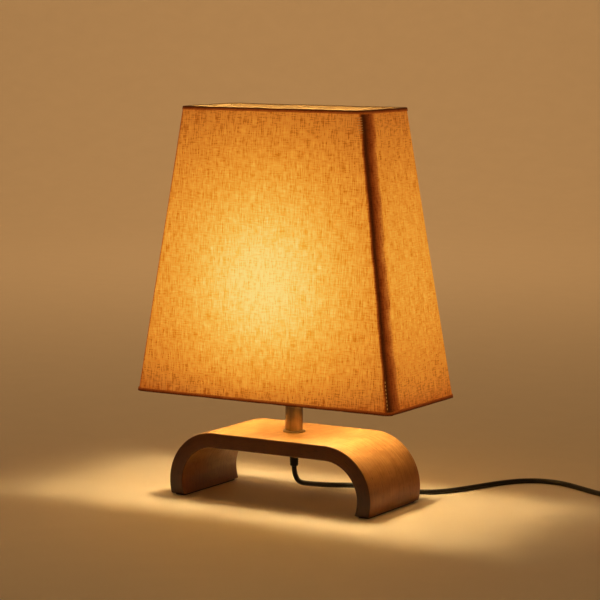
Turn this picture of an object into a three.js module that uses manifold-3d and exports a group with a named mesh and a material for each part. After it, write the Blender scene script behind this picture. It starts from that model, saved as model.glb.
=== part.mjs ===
// A bedside table lamp: an arched wooden foot, a short metal stem with its lampholder
// and bulb, a tapered rectangular fabric shade on a wire frame, and a mains cord with
// its inline switch and plug.
//
// Millimetres. +X runs along the foot, +Y to the back, +Z up. The origin is on the
// surface that the lamp stands on, under the middle of the foot.

import * as THREE from 'three';
import { ConvexGeometry } from 'three/addons/geometries/ConvexGeometry.js';
import { mergeVertices } from 'three/addons/utils/BufferGeometryUtils.js';
import Module from 'manifold-3d';

// Clearance between pieces that touch in the real lamp.
const GAP = 0.3;

// Arched wooden foot.
const FOOT_LENGTH = 238;
const FOOT_WIDTH = 103;
const FOOT_TOP = 69;
const PLANK = 15.3;
const OUTER_BEND = 53;
const FOOT_EDGE = 1;
const PAD_THICKNESS = 1.5;
const PAD_INSET = 2;
const ROD_HOLE_RADIUS = 5.6;

// Stem, its flange and the threaded rod that clamps them to the foot.
const ROD_RADIUS = 5;
const ROD_BORE = 3.8;
const ROD_BELOW_PLANK = 7.4;
const FLANGE_RADIUS = 11.5;
const FLANGE_THICKNESS = 1.5;
const STEM_RADIUS = 9;
const STEM_WALL = 1;
const STEM_LENGTH = 50;
const DISC_THICKNESS = 2;
const WASHER_THICKNESS = 1.5;
const NUT_THICKNESS = 3;
const NUT_ACROSS_FLATS = 14;

// Tapered sleeve that guides the cord out under the foot.
const RELIEF_BOTTOM = 33.8;
const RELIEF_SPIGOT = 10;
const RELIEF_SPIGOT_RADIUS = 3.4;
const RELIEF_TOP_RADIUS = 4.7;
const RELIEF_BOTTOM_RADIUS = 4.3;

// Lampholder for an E27 bulb.
const CAP_HEIGHT = 20;
const HOLDER_RADIUS = 19.6;
const SKIRT_HEIGHT = 24;
const SKIRT_BORE = 14;
const SHOULDER_RADIUS = 22.5;
const SHOULDER_HEIGHT = 3;
const SHADE_RING_RADIUS = 28;
const SHADE_RING_HEIGHT = 6;

// Bulb.
const BULB_CAP_RADIUS = 13.2;
const BULB_CAP_HEIGHT = 26;
const GLOBE_RADIUS = 30;
const GLOBE_ABOVE_CONTACT = 78;
const GLASS_THICKNESS = 0.9;

// Shade: half-lengths along X and half-widths along Y of its outside.
const SHADE_BOTTOM = { z: 108, x: 150.4, y: 68.4 };
const SHADE_TOP = { z: 400, x: 107.4, y: 47 };
const CORNER_RADIUS = 8.5;
const CORNER_STEPS = 6;
const HEM_HEIGHT = 3.6;
const HEM_CLOTH = 0.6;
const FABRIC_OUT = -0.9;
const FABRIC_IN = -1.7;
const WIRE_RADIUS = 1.5;
const UPRIGHT_RADIUS = 1.25;
const WIRE_OFFSET = -3.5;
const FITTER_THICKNESS = 1.5;
const FITTER_RADIUS = 29;
const FITTER_BORE = 20.5;
const SEAM_WIDTH = 19;

// Cord.
const CORD_RADIUS = 2.6;
const CORD_STEP = 13;
const SWITCH_HEADING = -30;
const SWITCH_ENTRY = [300, 149.8];
const SWITCH_LENGTH = 62;
const SWITCH_WIDTH = 26;
const SWITCH_HEIGHT = 15.6;
const ROCKER_TILT = 8;
const COIL_RUN_IN = 36;
const COIL_OUTER_TURN = 36.6;
const COIL_INNER_TURN = 21;
const COIL_CLEARANCE = 20;
const PLUG_RUN = 45;
const PLUG_MIDDLE = 7;
const PLUG_RELIEF = 20;
const PLUG_BODY = 36;
const PLUG_WIDTH = 35;
const PIN_LENGTH = 19;
const PIN_SPACING = 19;

// Heights of the stack on the rod, from the foot upwards.
const PLANK_UNDERSIDE = FOOT_TOP - PLANK;
const FLANGE_Z = FOOT_TOP + GAP;
const STEM_Z = FLANGE_Z + FLANGE_THICKNESS + GAP;
const STEM_END = STEM_Z + STEM_LENGTH;
const DISC_Z = STEM_END + GAP;
const CAP_Z = DISC_Z + DISC_THICKNESS + GAP;
const SKIRT_Z = CAP_Z + CAP_HEIGHT + GAP;
const SHOULDER_Z = SKIRT_Z + SHOULDER_HEIGHT;
const FITTER_Z = SHOULDER_Z + GAP;
const SHADE_RING_Z = FITTER_Z + FITTER_THICKNESS + GAP;
const ROD_BOTTOM = PLANK_UNDERSIDE - ROD_BELOW_PLANK;
const ROD_TOP = CAP_Z + 7;
const CONTACT_Z = SKIRT_Z + 1;
const BULB_TIP = CONTACT_Z + GAP;
const NECK_Z = BULB_TIP + BULB_CAP_HEIGHT + GAP;

const MATERIALS = {
  wood: { color: 0xc98a4b, roughness: 0.45, metalness: 0 },
  felt: { color: 0x1d1a18, roughness: 0.95, metalness: 0 },
  satinMetal: { color: 0x8f8277, roughness: 0.35, metalness: 1 },
  steel: { color: 0xb9b9b4, roughness: 0.4, metalness: 1 },
  brass: { color: 0xc7a257, roughness: 0.35, metalness: 1 },
  blackPlastic: { color: 0x161514, roughness: 0.45, metalness: 0 },
  whiteWire: { color: 0xdedad0, roughness: 0.5, metalness: 0 },
  linen: { color: 0xd9b277, roughness: 0.9, metalness: 0 },
  hemLinen: { color: 0x9a6a36, roughness: 0.9, metalness: 0 },
  opalGlass: { color: 0xf6efdf, roughness: 0.25, metalness: 0 },
  clearGlass: { color: 0xe8eeee, roughness: 0.05, metalness: 0 },
  phosphor: { color: 0xe8b64a, roughness: 0.6, metalness: 0 },
  aluminium: { color: 0xc9c9c8, roughness: 0.35, metalness: 1 },
  blackPvc: { color: 0x121212, roughness: 0.4, metalness: 0 },
};

const wasm = await Module();
wasm.setup();

// ---------------------------------------------------------------- shape helpers

function manifoldOf(geometry) {
  const bare = geometry.clone();
  for (const name of Object.keys(bare.attributes)) {
    if (name !== 'position') bare.deleteAttribute(name);
  }
  const merged = mergeVertices(bare, 1e-4);
  return new wasm.Manifold(new wasm.Mesh({
    numProp: 3,
    vertProperties: new Float32Array(merged.attributes.position.array),
    triVerts: new Uint32Array(merged.index.array),
  }));
}

function geometryOf(solid) {
  const mesh = solid.getMesh();
  const geometry = new THREE.BufferGeometry();
  geometry.setAttribute('position', new THREE.BufferAttribute(mesh.vertProperties, 3));
  geometry.setIndex(new THREE.BufferAttribute(mesh.triVerts, 1));
  return geometry;
}

function cut(geometry, ...tools) {
  let solid = manifoldOf(geometry);
  for (const tool of tools) solid = solid.subtract(manifoldOf(tool));
  return geometryOf(solid);
}

function join(geometry, ...others) {
  let solid = manifoldOf(geometry);
  for (const other of others) solid = solid.add(manifoldOf(other));
  return geometryOf(solid);
}

function common(geometry, other) {
  return geometryOf(manifoldOf(geometry).intersect(manifoldOf(other)));
}

// A body turned about Z from its half profile of [radius, z] points, which run
// anticlockwise: outwards along the bottom, up the outside, back along the top.
function turned(profile, segments = 32) {
  const points = profile.map(([radius, z]) => new THREE.Vector2(radius, z));
  return new THREE.LatheGeometry(points, segments).rotateX(Math.PI / 2);
}

function ring(outer, inner, z, height, segments = 32) {
  const top = z + height;
  return turned([[inner, z], [outer, z], [outer, top], [inner, top], [inner, z]], segments);
}

function disc(radius, z, height, segments = 24) {
  return turned([[0, z], [radius, z], [radius, z + height], [0, z + height]], segments);
}

function box(size, centre) {
  return new THREE.BoxGeometry(...size).translate(...centre);
}

// A straight round bar between two points.
function bar(from, to, radius, sides = 10) {
  const start = new THREE.Vector3(...from);
  const run = new THREE.Vector3(...to).sub(start);
  const turn = new THREE.Quaternion().setFromUnitVectors(
    new THREE.Vector3(0, 1, 0), run.clone().normalize());
  const middle = start.addScaledVector(run, 0.5);
  return new THREE.CylinderGeometry(radius, radius, run.length(), sides)
    .applyQuaternion(turn)
    .translate(middle.x, middle.y, middle.z);
}

// A shape drawn on the floor plan and raised from z by height, with bevelled edges.
function raised(shape, z, height, bevel = 0, curveSegments = 8) {
  const geometry = new THREE.ExtrudeGeometry(shape, {
    depth: height - 2 * bevel,
    bevelEnabled: bevel > 0,
    bevelThickness: bevel,
    bevelSize: bevel,
    bevelOffset: -bevel,
    bevelSegments: 2,
    curveSegments,
  });
  return geometry.translate(0, 0, z + bevel);
}

// A shape drawn in the XZ plane and given a thickness across Y, centred on Y = 0.
function acrossY(shape, width, bevel = 0, curveSegments = 14) {
  return raised(shape, -width / 2, width, bevel, curveSegments).rotateX(Math.PI / 2);
}

function roundedOutline(halfX, halfY, radius, steps) {
  const points = [];
  for (let corner = 0; corner < 4; corner += 1) {
    const signX = corner === 0 || corner === 3 ? 1 : -1;
    const signY = corner < 2 ? 1 : -1;
    for (let step = 0; step <= steps; step += 1) {
      const angle = (corner + step / steps) * Math.PI / 2;
      points.push(new THREE.Vector2(
        signX * (halfX - radius) + radius * Math.cos(angle),
        signY * (halfY - radius) + radius * Math.sin(angle)));
    }
  }
  return points;
}

function roundedPlate(length, width, radius, steps = 3) {
  return new THREE.Shape(roundedOutline(length / 2, width / 2, radius, steps));
}

// A thin strip bent along [x, z] points, with the given thickness, across Y.
function strip(points, thickness, width) {
  const outline = [...points, ...points.map(([x, z]) => [x, z + thickness]).reverse()];
  return acrossY(new THREE.Shape(outline.map(([x, z]) => new THREE.Vector2(x, z))), width);
}

function shadeHalfSizes(z) {
  const share = (z - SHADE_BOTTOM.z) / (SHADE_TOP.z - SHADE_BOTTOM.z);
  return [
    THREE.MathUtils.lerp(SHADE_BOTTOM.x, SHADE_TOP.x, share),
    THREE.MathUtils.lerp(SHADE_BOTTOM.y, SHADE_TOP.y, share),
  ];
}

// A closed frame that follows the shade's outline. Its section is a closed list of
// [offset, z] points, anticlockwise, where offset is measured outwards from the shade.
function shadeFrame(section) {
  const loops = section.map(([offset, z]) => {
    const [halfX, halfY] = shadeHalfSizes(z);
    return roundedOutline(
      halfX + offset, halfY + offset, CORNER_RADIUS + offset, CORNER_STEPS,
    ).map((point) => [point.x, point.y, z]);
  });
  const stations = loops[0].length;
  const index = [];
  for (let k = 0; k < loops.length; k += 1) {
    const next = (k + 1) % loops.length;
    for (let i = 0; i < stations; i += 1) {
      const j = (i + 1) % stations;
      const [a, b] = [k * stations + i, k * stations + j];
      const [c, d] = [next * stations + j, next * stations + i];
      index.push(a, b, d, b, c, d);
    }
  }
  const geometry = new THREE.BufferGeometry();
  geometry.setAttribute('position', new THREE.Float32BufferAttribute(loops.flat(2), 3));
  geometry.setIndex(index);
  return geometry;
}

function roundSection(offset, z, radius, sides = 8) {
  return Array.from({ length: sides }, (_, i) => {
    const angle = (i + 0.5) * 2 * Math.PI / sides;
    return [offset + radius * Math.cos(angle), z + radius * Math.sin(angle)];
  });
}

// A round cord along a smooth curve through the given points.
function cordAlong(route) {
  const curve = new THREE.CatmullRomCurve3(route.map((point) => new THREE.Vector3(...point)));
  const section = new THREE.Shape(Array.from({ length: 8 }, (_, i) => {
    const angle = i * Math.PI / 4;
    return new THREE.Vector2(CORD_RADIUS * Math.cos(angle), CORD_RADIUS * Math.sin(angle));
  }));
  return new THREE.ExtrudeGeometry(section, {
    steps: Math.max(2, Math.ceil(curve.getLength() / CORD_STEP)),
    extrudePath: curve,
    bevelEnabled: false,
  });
}

const lamp = new THREE.Group();

function add(name, geometry, finish, group = lamp) {
  const mesh = new THREE.Mesh(geometry, new THREE.MeshStandardMaterial(MATERIALS[finish]));
  mesh.name = name;
  group.add(mesh);
}

// ---------------------------------------------------------------- wooden foot

// The plank runs along the top, bends round each end, and carries on a little past
// upright, so the legs lean inwards at the floor.
function addFoot() {
  const floor = PAD_THICKNESS + GAP;
  const bendX = FOOT_LENGTH / 2 - OUTER_BEND;
  const bendZ = FOOT_TOP - OUTER_BEND;
  const innerBend = OUTER_BEND - PLANK;
  const outerEnd = Math.asin((bendZ - floor) / OUTER_BEND);
  const innerEnd = Math.asin((bendZ - floor) / innerBend);
  const outerX = bendX + OUTER_BEND * Math.cos(outerEnd);
  const innerX = bendX + innerBend * Math.cos(innerEnd);

  const outline = new THREE.Shape();
  outline.moveTo(innerX, floor);
  outline.lineTo(outerX, floor);
  outline.absarc(bendX, bendZ, OUTER_BEND, -outerEnd, Math.PI / 2, false);
  outline.absarc(-bendX, bendZ, OUTER_BEND, Math.PI / 2, Math.PI + outerEnd, false);
  outline.lineTo(-innerX, floor);
  outline.absarc(-bendX, bendZ, innerBend, Math.PI + innerEnd, Math.PI / 2, true);
  outline.absarc(bendX, bendZ, innerBend, Math.PI / 2, -innerEnd, true);
  const plank = acrossY(outline, FOOT_WIDTH, FOOT_EDGE);
  add('bridge_foot', cut(plank, disc(ROD_HOLE_RADIUS, 0, 2 * FOOT_TOP)), 'wood');

  const padLength = outerX - innerX - 2 * PAD_INSET;
  const padX = (outerX + innerX) / 2;
  const pad = roundedPlate(padLength, FOOT_WIDTH - 4 * PAD_INSET, 2);
  for (const [name, side] of [['left', -1], ['right', 1]]) {
    add(`foot_pad_${name}`, raised(pad, 0, PAD_THICKNESS).translate(side * padX, 0, 0), 'felt');
  }
}

// ---------------------------------------------------------------- stem and rod

function addStem() {
  add('flange_ring', turned([
    [ROD_HOLE_RADIUS, FLANGE_Z],
    [FLANGE_RADIUS, FLANGE_Z],
    [FLANGE_RADIUS, FLANGE_Z + 1],
    [FLANGE_RADIUS - 0.5, FLANGE_Z + FLANGE_THICKNESS],
    [ROD_HOLE_RADIUS, FLANGE_Z + FLANGE_THICKNESS],
    [ROD_HOLE_RADIUS, FLANGE_Z],
  ]), 'satinMetal');
  add('stem_tube', ring(STEM_RADIUS, STEM_RADIUS - STEM_WALL, STEM_Z, STEM_LENGTH), 'satinMetal');

  const spigot = STEM_RADIUS - STEM_WALL - GAP;
  add('stem_centring_disc', turned([
    [ROD_RADIUS + GAP, DISC_Z - 3],
    [spigot, DISC_Z - 3],
    [spigot, DISC_Z],
    [STEM_RADIUS, DISC_Z],
    [STEM_RADIUS, DISC_Z + DISC_THICKNESS],
    [ROD_RADIUS + GAP, DISC_Z + DISC_THICKNESS],
    [ROD_RADIUS + GAP, DISC_Z - 3],
  ]), 'satinMetal');
  add('threaded_rod', ring(ROD_RADIUS, ROD_BORE, ROD_BOTTOM, ROD_TOP - ROD_BOTTOM, 24), 'steel');

  const washerZ = PLANK_UNDERSIDE - GAP - WASHER_THICKNESS;
  add('washer', ring(12, ROD_RADIUS + GAP, washerZ, WASHER_THICKNESS), 'steel');
  const nutRadius = NUT_ACROSS_FLATS / Math.sqrt(3);
  const nutZ = washerZ - GAP - NUT_THICKNESS;
  const nut = disc(nutRadius, nutZ, NUT_THICKNESS, 6);
  add('lock_nut', cut(nut, disc(ROD_RADIUS + GAP, 0, 2 * FOOT_TOP)), 'brass');

  const shoulder = ROD_BOTTOM - GAP;
  add('strain_relief', turned([
    [CORD_RADIUS + GAP, RELIEF_BOTTOM],
    [RELIEF_BOTTOM_RADIUS - 0.9, RELIEF_BOTTOM],
    [RELIEF_BOTTOM_RADIUS, RELIEF_BOTTOM + 1],
    [RELIEF_TOP_RADIUS, shoulder],
    [RELIEF_SPIGOT_RADIUS, shoulder],
    [RELIEF_SPIGOT_RADIUS, shoulder + RELIEF_SPIGOT],
    [CORD_RADIUS + GAP, shoulder + RELIEF_SPIGOT],
    [CORD_RADIUS + GAP, RELIEF_BOTTOM],
  ], 24), 'blackPvc');
  add('cord_inside_stem', disc(CORD_RADIUS, RELIEF_BOTTOM, ROD_TOP - RELIEF_BOTTOM, 12), 'blackPvc');
}

// ---------------------------------------------------------------- lampholder

function addLampholder() {
  const wall = 2;
  const top = CAP_Z + CAP_HEIGHT;
  const inner = HOLDER_RADIUS - wall;
  const capBody = turned([
    [ROD_RADIUS + GAP, CAP_Z],
    [9, CAP_Z],
    [9.5, CAP_Z + 4],
    [16.5, CAP_Z + 7],
    [HOLDER_RADIUS, CAP_Z + 11],
    [HOLDER_RADIUS, top],
    [inner, top],
    [inner, CAP_Z + 12],
    [15, CAP_Z + 9],
    [ROD_RADIUS + GAP, CAP_Z + 7],
    [ROD_RADIUS + GAP, CAP_Z],
  ]);
  const grubZ = CAP_Z + 2;
  const grubHole = bar([0, 0, grubZ], [20, 0, grubZ], 1.5);
  add('holder_cap', cut(capBody, grubHole), 'blackPlastic');
  add('holder_grub_screw', bar([ROD_RADIUS + GAP, 0, grubZ], [8.8, 0, grubZ], 1.2), 'steel');

  const coreZ = top - 8;
  const coreHeight = 7.5;
  const core = disc(inner - GAP, coreZ, coreHeight, 28);
  const wireWays = [-1, 1].map((side) => disc(2, 0, 300, 12).translate(side * 9, 6, 0));
  const screwWays = [-1, 1].map((side) => disc(1.8, coreZ - 1, 5, 12).translate(side * 9, -5, 0));
  add('holder_core', cut(core, ...wireWays, ...screwWays), 'whiteWire');
  for (const [name, side] of [['left', -1], ['right', 1]]) {
    add(`terminal_screw_${name}`, disc(1.5, coreZ - 0.6, 4, 10).translate(side * 9, -5, 0), 'brass');
  }

  // The centre tongue lies on the core and rises under the bulb; the side tongue
  // stands up beside the bulb's screw cap.
  const onCore = coreZ + coreHeight + GAP;
  add('centre_contact', strip([[-8, onCore], [-4, onCore], [3, CONTACT_Z - 0.5]], 0.5, 5), 'brass');
  const sideContact = join(
    box([0.5, 4, 8], [SKIRT_BORE - 0.3, 0, onCore + 4.5]),
    box([5, 4, 0.5], [SKIRT_BORE - 2.55, 0, onCore + 0.25]));
  add('side_contact', sideContact, 'brass');

  const skirtTop = SKIRT_Z + SKIRT_HEIGHT;
  add('holder_skirt', turned([
    [inner - 2, SKIRT_Z],
    [SHOULDER_RADIUS, SKIRT_Z],
    [SHOULDER_RADIUS, SHOULDER_Z],
    [HOLDER_RADIUS, SHOULDER_Z],
    [HOLDER_RADIUS, skirtTop - 1],
    [HOLDER_RADIUS - 1, skirtTop],
    [SKIRT_BORE + 1, skirtTop],
    [SKIRT_BORE + 1, SHOULDER_Z + 6],
    [inner - 2, SHOULDER_Z + 6],
    [inner - 2, SKIRT_Z],
  ]), 'blackPlastic');
  add('shade_ring', turned([
    [HOLDER_RADIUS + 0.5, SHADE_RING_Z],
    [SHADE_RING_RADIUS, SHADE_RING_Z],
    [SHADE_RING_RADIUS, SHADE_RING_Z + 2],
    [HOLDER_RADIUS + 4, SHADE_RING_Z + SHADE_RING_HEIGHT],
    [HOLDER_RADIUS + 0.5, SHADE_RING_Z + SHADE_RING_HEIGHT],
    [HOLDER_RADIUS + 0.5, SHADE_RING_Z],
  ]), 'blackPlastic');
}

// ---------------------------------------------------------------- bulb

// Half outline of the glass, from its neck up to its top on the axis: a straight
// neck that swells, tangent to it, into a round globe.
function glassOutline(inset) {
  const centreZ = BULB_TIP + GLOBE_ABOVE_CONTACT;
  const radius = GLOBE_RADIUS - inset;
  const swellEnd = -0.6;
  const [swellX, swellZ] = [
    radius * Math.cos(swellEnd), centreZ + radius * Math.sin(swellEnd)];
  const reach = 16;
  const neck = BULB_CAP_RADIUS - inset;
  const path = new THREE.Path();
  path.moveTo(neck, NECK_Z);
  path.bezierCurveTo(
    neck, NECK_Z + reach,
    swellX + reach * Math.sin(swellEnd), swellZ - reach * Math.cos(swellEnd),
    swellX, swellZ);
  path.absarc(0, centreZ, radius, swellEnd, Math.PI / 2, false);
  const points = path.getPoints(6).map((point) => [point.x, point.y]);
  return [...points.slice(0, -1), [0, centreZ + radius]];
}

function addBulb() {
  const outside = glassOutline(0);
  const inside = glassOutline(GLASS_THICKNESS).reverse();
  add('bulb_glass', turned([...outside, ...inside, outside[0]], 24), 'opalGlass');

  const capZ = BULB_TIP + 6;
  add('bulb_cap', ring(BULB_CAP_RADIUS, BULB_CAP_RADIUS - 0.6, capZ,
    NECK_Z - GAP - capZ), 'aluminium');
  add('bulb_insulator', turned([
    [0, BULB_TIP + 1.6],
    [5, BULB_TIP + 1.6],
    [BULB_CAP_RADIUS - 1, capZ - GAP],
    [0, capZ - GAP],
  ]), 'blackPlastic');
  add('bulb_contact', turned([
    [0, BULB_TIP],
    [3, BULB_TIP],
    [4.5, BULB_TIP + 1.3],
    [0, BULB_TIP + 1.3],
  ], 16), 'brass');

  const mountTop = NECK_Z + 28;
  add('bulb_mount', turned([
    [0, capZ + 1],
    [11.5, capZ + 1],
    [11.5, NECK_Z - 2],
    [4, NECK_Z + 6],
    [2.2, mountTop],
    [0, mountTop],
  ], 16), 'clearGlass');
  for (const [name, side] of [['left', -1], ['right', 1]]) {
    add(`bulb_filament_${name}`,
      bar([side * 6, 0, mountTop + 2], [side * 3.5, 0, mountTop + 32], 0.9), 'phosphor');
  }
}

// ---------------------------------------------------------------- shade

function addShade() {
  const bottom = SHADE_BOTTOM.z;
  const top = SHADE_TOP.z;
  const inward = WIRE_OFFSET - WIRE_RADIUS - GAP;
  const innerLip = HEM_HEIGHT + 0.6;

  // Each hem is cloth rolled round its wire: an outer face, an edge and an inner lip.
  add('bottom_hem', shadeFrame([
    [inward - HEM_CLOTH, bottom],
    [0, bottom],
    [0, bottom + HEM_HEIGHT],
    [-HEM_CLOTH, bottom + HEM_HEIGHT],
    [-HEM_CLOTH, bottom + HEM_CLOTH],
    [inward, bottom + HEM_CLOTH],
    [inward, bottom + innerLip],
    [inward - HEM_CLOTH, bottom + innerLip],
  ]), 'hemLinen');
  add('top_hem', shadeFrame([
    [inward - HEM_CLOTH, top - innerLip],
    [inward, top - innerLip],
    [inward, top - HEM_CLOTH],
    [-HEM_CLOTH, top - HEM_CLOTH],
    [-HEM_CLOTH, top - HEM_HEIGHT],
    [0, top - HEM_HEIGHT],
    [0, top],
    [inward - HEM_CLOTH, top],
  ]), 'hemLinen');
  const inHem = HEM_CLOTH + GAP;
  add('shade_fabric', shadeFrame([
    [FABRIC_IN, bottom + inHem],
    [FABRIC_OUT, bottom + inHem],
    [FABRIC_OUT, top - inHem],
    [FABRIC_IN, top - inHem],
  ]), 'linen');

  const lowWireZ = bottom + inHem + WIRE_RADIUS;
  const highWireZ = top - inHem - WIRE_RADIUS;
  add('bottom_wire', shadeFrame(roundSection(WIRE_OFFSET, lowWireZ, WIRE_RADIUS)), 'whiteWire');
  add('top_wire', shadeFrame(roundSection(WIRE_OFFSET, highWireZ, WIRE_RADIUS)), 'whiteWire');
  addUprights(lowWireZ + WIRE_RADIUS + 2 * GAP, highWireZ - WIRE_RADIUS - 2 * GAP);
  addFitter(bottom + innerLip + WIRE_RADIUS + 2 * GAP);
  addSeam(bottom + innerLip + GAP, top - innerLip - GAP);
}

// The four uprights stand in the shade's corners, between the two wire frames.
function addUprights(low, high) {
  const cornerInset = CORNER_RADIUS - (CORNER_RADIUS + WIRE_OFFSET) * Math.SQRT1_2;
  for (const [sideName, side] of [['front', -1], ['back', 1]]) {
    for (const [endName, end] of [['left', -1], ['right', 1]]) {
      const [from, to] = [low, high].map((z) => {
        const [halfX, halfY] = shadeHalfSizes(z);
        return [end * (halfX - cornerInset), side * (halfY - cornerInset), z];
      });
      add(`upright_${sideName}_${endName}`, bar(from, to, UPRIGHT_RADIUS, 8), 'whiteWire');
    }
  }
}

// The ring that sits on the lampholder, and the four arms down to the bottom frame.
function addFitter(armZ) {
  add('fitter_ring', ring(FITTER_RADIUS, FITTER_BORE, FITTER_Z, FITTER_THICKNESS), 'whiteWire');
  const [halfX, halfY] = shadeHalfSizes(armZ);
  const ringEnd = FITTER_RADIUS + 1.7;
  const ringZ = FITTER_Z + FITTER_THICKNESS / 2;
  const inset = 4.6;
  const arms = {
    left: [[inset - halfX, 0], [-ringEnd, 0]],
    right: [[halfX - inset, 0], [ringEnd, 0]],
    front: [[0, inset - halfY], [0, -ringEnd]],
    back: [[0, halfY - inset], [0, ringEnd]],
  };
  for (const [name, [outer, inner]] of Object.entries(arms)) {
    add(`fitter_arm_${name}`,
      bar([...outer, armZ + 0.4], [...inner, ringZ], WIRE_RADIUS, 8), 'whiteWire');
  }
}

// The strip behind the fabric's one overlapped seam, on the right end beside the
// front corner.
function addSeam(low, high) {
  const points = [];
  for (const z of [low, high]) {
    const [halfX, halfY] = shadeHalfSizes(z);
    for (const offset of [FABRIC_IN - GAP, FABRIC_IN - GAP - HEM_CLOTH]) {
      for (const along of [CORNER_RADIUS + 0.5, CORNER_RADIUS + SEAM_WIDTH]) {
        points.push(new THREE.Vector3(halfX + offset, along - halfY, z));
      }
    }
  }
  add('seam_strip', new ConvexGeometry(points), 'hemLinen');
}

// ---------------------------------------------------------------- cord

const heading = THREE.MathUtils.degToRad(SWITCH_HEADING);
const SWITCH_MIDDLE = SWITCH_HEIGHT / 2;

// A point on the straight run through the switch, measured from where the cord enters it.
function onSwitchRun(distance, z) {
  return [
    SWITCH_ENTRY[0] + distance * Math.cos(heading),
    SWITCH_ENTRY[1] + distance * Math.sin(heading),
    z,
  ];
}

// From under the foot, out behind it, along its back and away to the right.
const LAMP_SIDE_ROUTE = [
  [0, 0, RELIEF_BOTTOM - GAP],
  [0, 0.5, 29.1],
  [0, 1.9, 24.9],
  [0, 4.1, 21.1],
  [0, 7.1, 17.9],
  [0.1, 10.8, 15.4],
  [0.2, 15.2, 13.6],
  [0.4, 22, 11.8],
  [0.8, 33, 9.3],
  [1.8, 45, 6.8],
  [4.2, 56, 4.6],
  [9.5, 66.5, 3.1],
  [18, 74, 2.6],
  [29, 78.2, 2.6],
  [42, 79.8, 2.6],
  [60, 80.2, 2.6],
  [80, 80.4, 2.6],
  [97, 82.6, 2.6],
  [111, 89.6, 2.6],
  [122, 101.5, 2.6],
  [130, 117, 2.6],
  [137, 134, 2.6],
  [144, 152, 2.6],
  [152, 170, 2.6],
  [162.5, 186.5, 2.6],
  [177, 198, 2.6],
  [195, 201.5, 2.6],
  [214, 197, 2.6],
  [234, 187, 2.6],
  [250, 178.4, 2.6],
  [265, 170, 3],
  [279, 162, 4.6],
  onSwitchRun(-10, 7.2),
  onSwitchRun(-GAP, SWITCH_MIDDLE),
];

const COIL_TANGENT = onSwitchRun(SWITCH_LENGTH + COIL_RUN_IN, CORD_RADIUS);
const COIL_CENTRE = [
  COIL_TANGENT[0] + COIL_OUTER_TURN * Math.sin(heading),
  COIL_TANGENT[1] - COIL_OUTER_TURN * Math.cos(heading),
];
const TAIL_X = COIL_CENTRE[0] + COIL_OUTER_TURN;

function addCord() {
  add('cord_lamp_side', cordAlong(LAMP_SIDE_ROUTE), 'blackPvc');
  add('cord_switch_to_coil', cordAlong([
    onSwitchRun(SWITCH_LENGTH + GAP, SWITCH_MIDDLE),
    onSwitchRun(SWITCH_LENGTH + 6, 7.2),
    onSwitchRun(SWITCH_LENGTH + COIL_RUN_IN - COIL_CLEARANCE - 1, 6),
  ]), 'blackPvc');

  const inner = COIL_INNER_TURN - CORD_RADIUS;
  const outer = COIL_OUTER_TURN + CORD_RADIUS;
  const height = 4 * CORD_RADIUS;
  const edge = 1.6;
  add('cord_coil', turned([
    [inner + edge, 0],
    [outer - edge, 0],
    [outer, edge],
    [outer, height - edge],
    [outer - edge, height],
    [inner + edge, height],
    [inner, height - edge],
    [inner, edge],
    [inner + edge, 0],
  ]).translate(COIL_CENTRE[0], COIL_CENTRE[1], 0), 'blackPvc');

  add('cord_plug_tail', cordAlong([
    [TAIL_X, COIL_CENTRE[1] - COIL_CLEARANCE - 1, 7.6],
    [TAIL_X, COIL_CENTRE[1] - (COIL_CLEARANCE + PLUG_RUN) / 2, 7.2],
    [TAIL_X, COIL_CENTRE[1] - PLUG_RUN + GAP, PLUG_MIDDLE],
  ]), 'blackPvc');
}

// ---------------------------------------------------------------- inline switch

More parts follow.
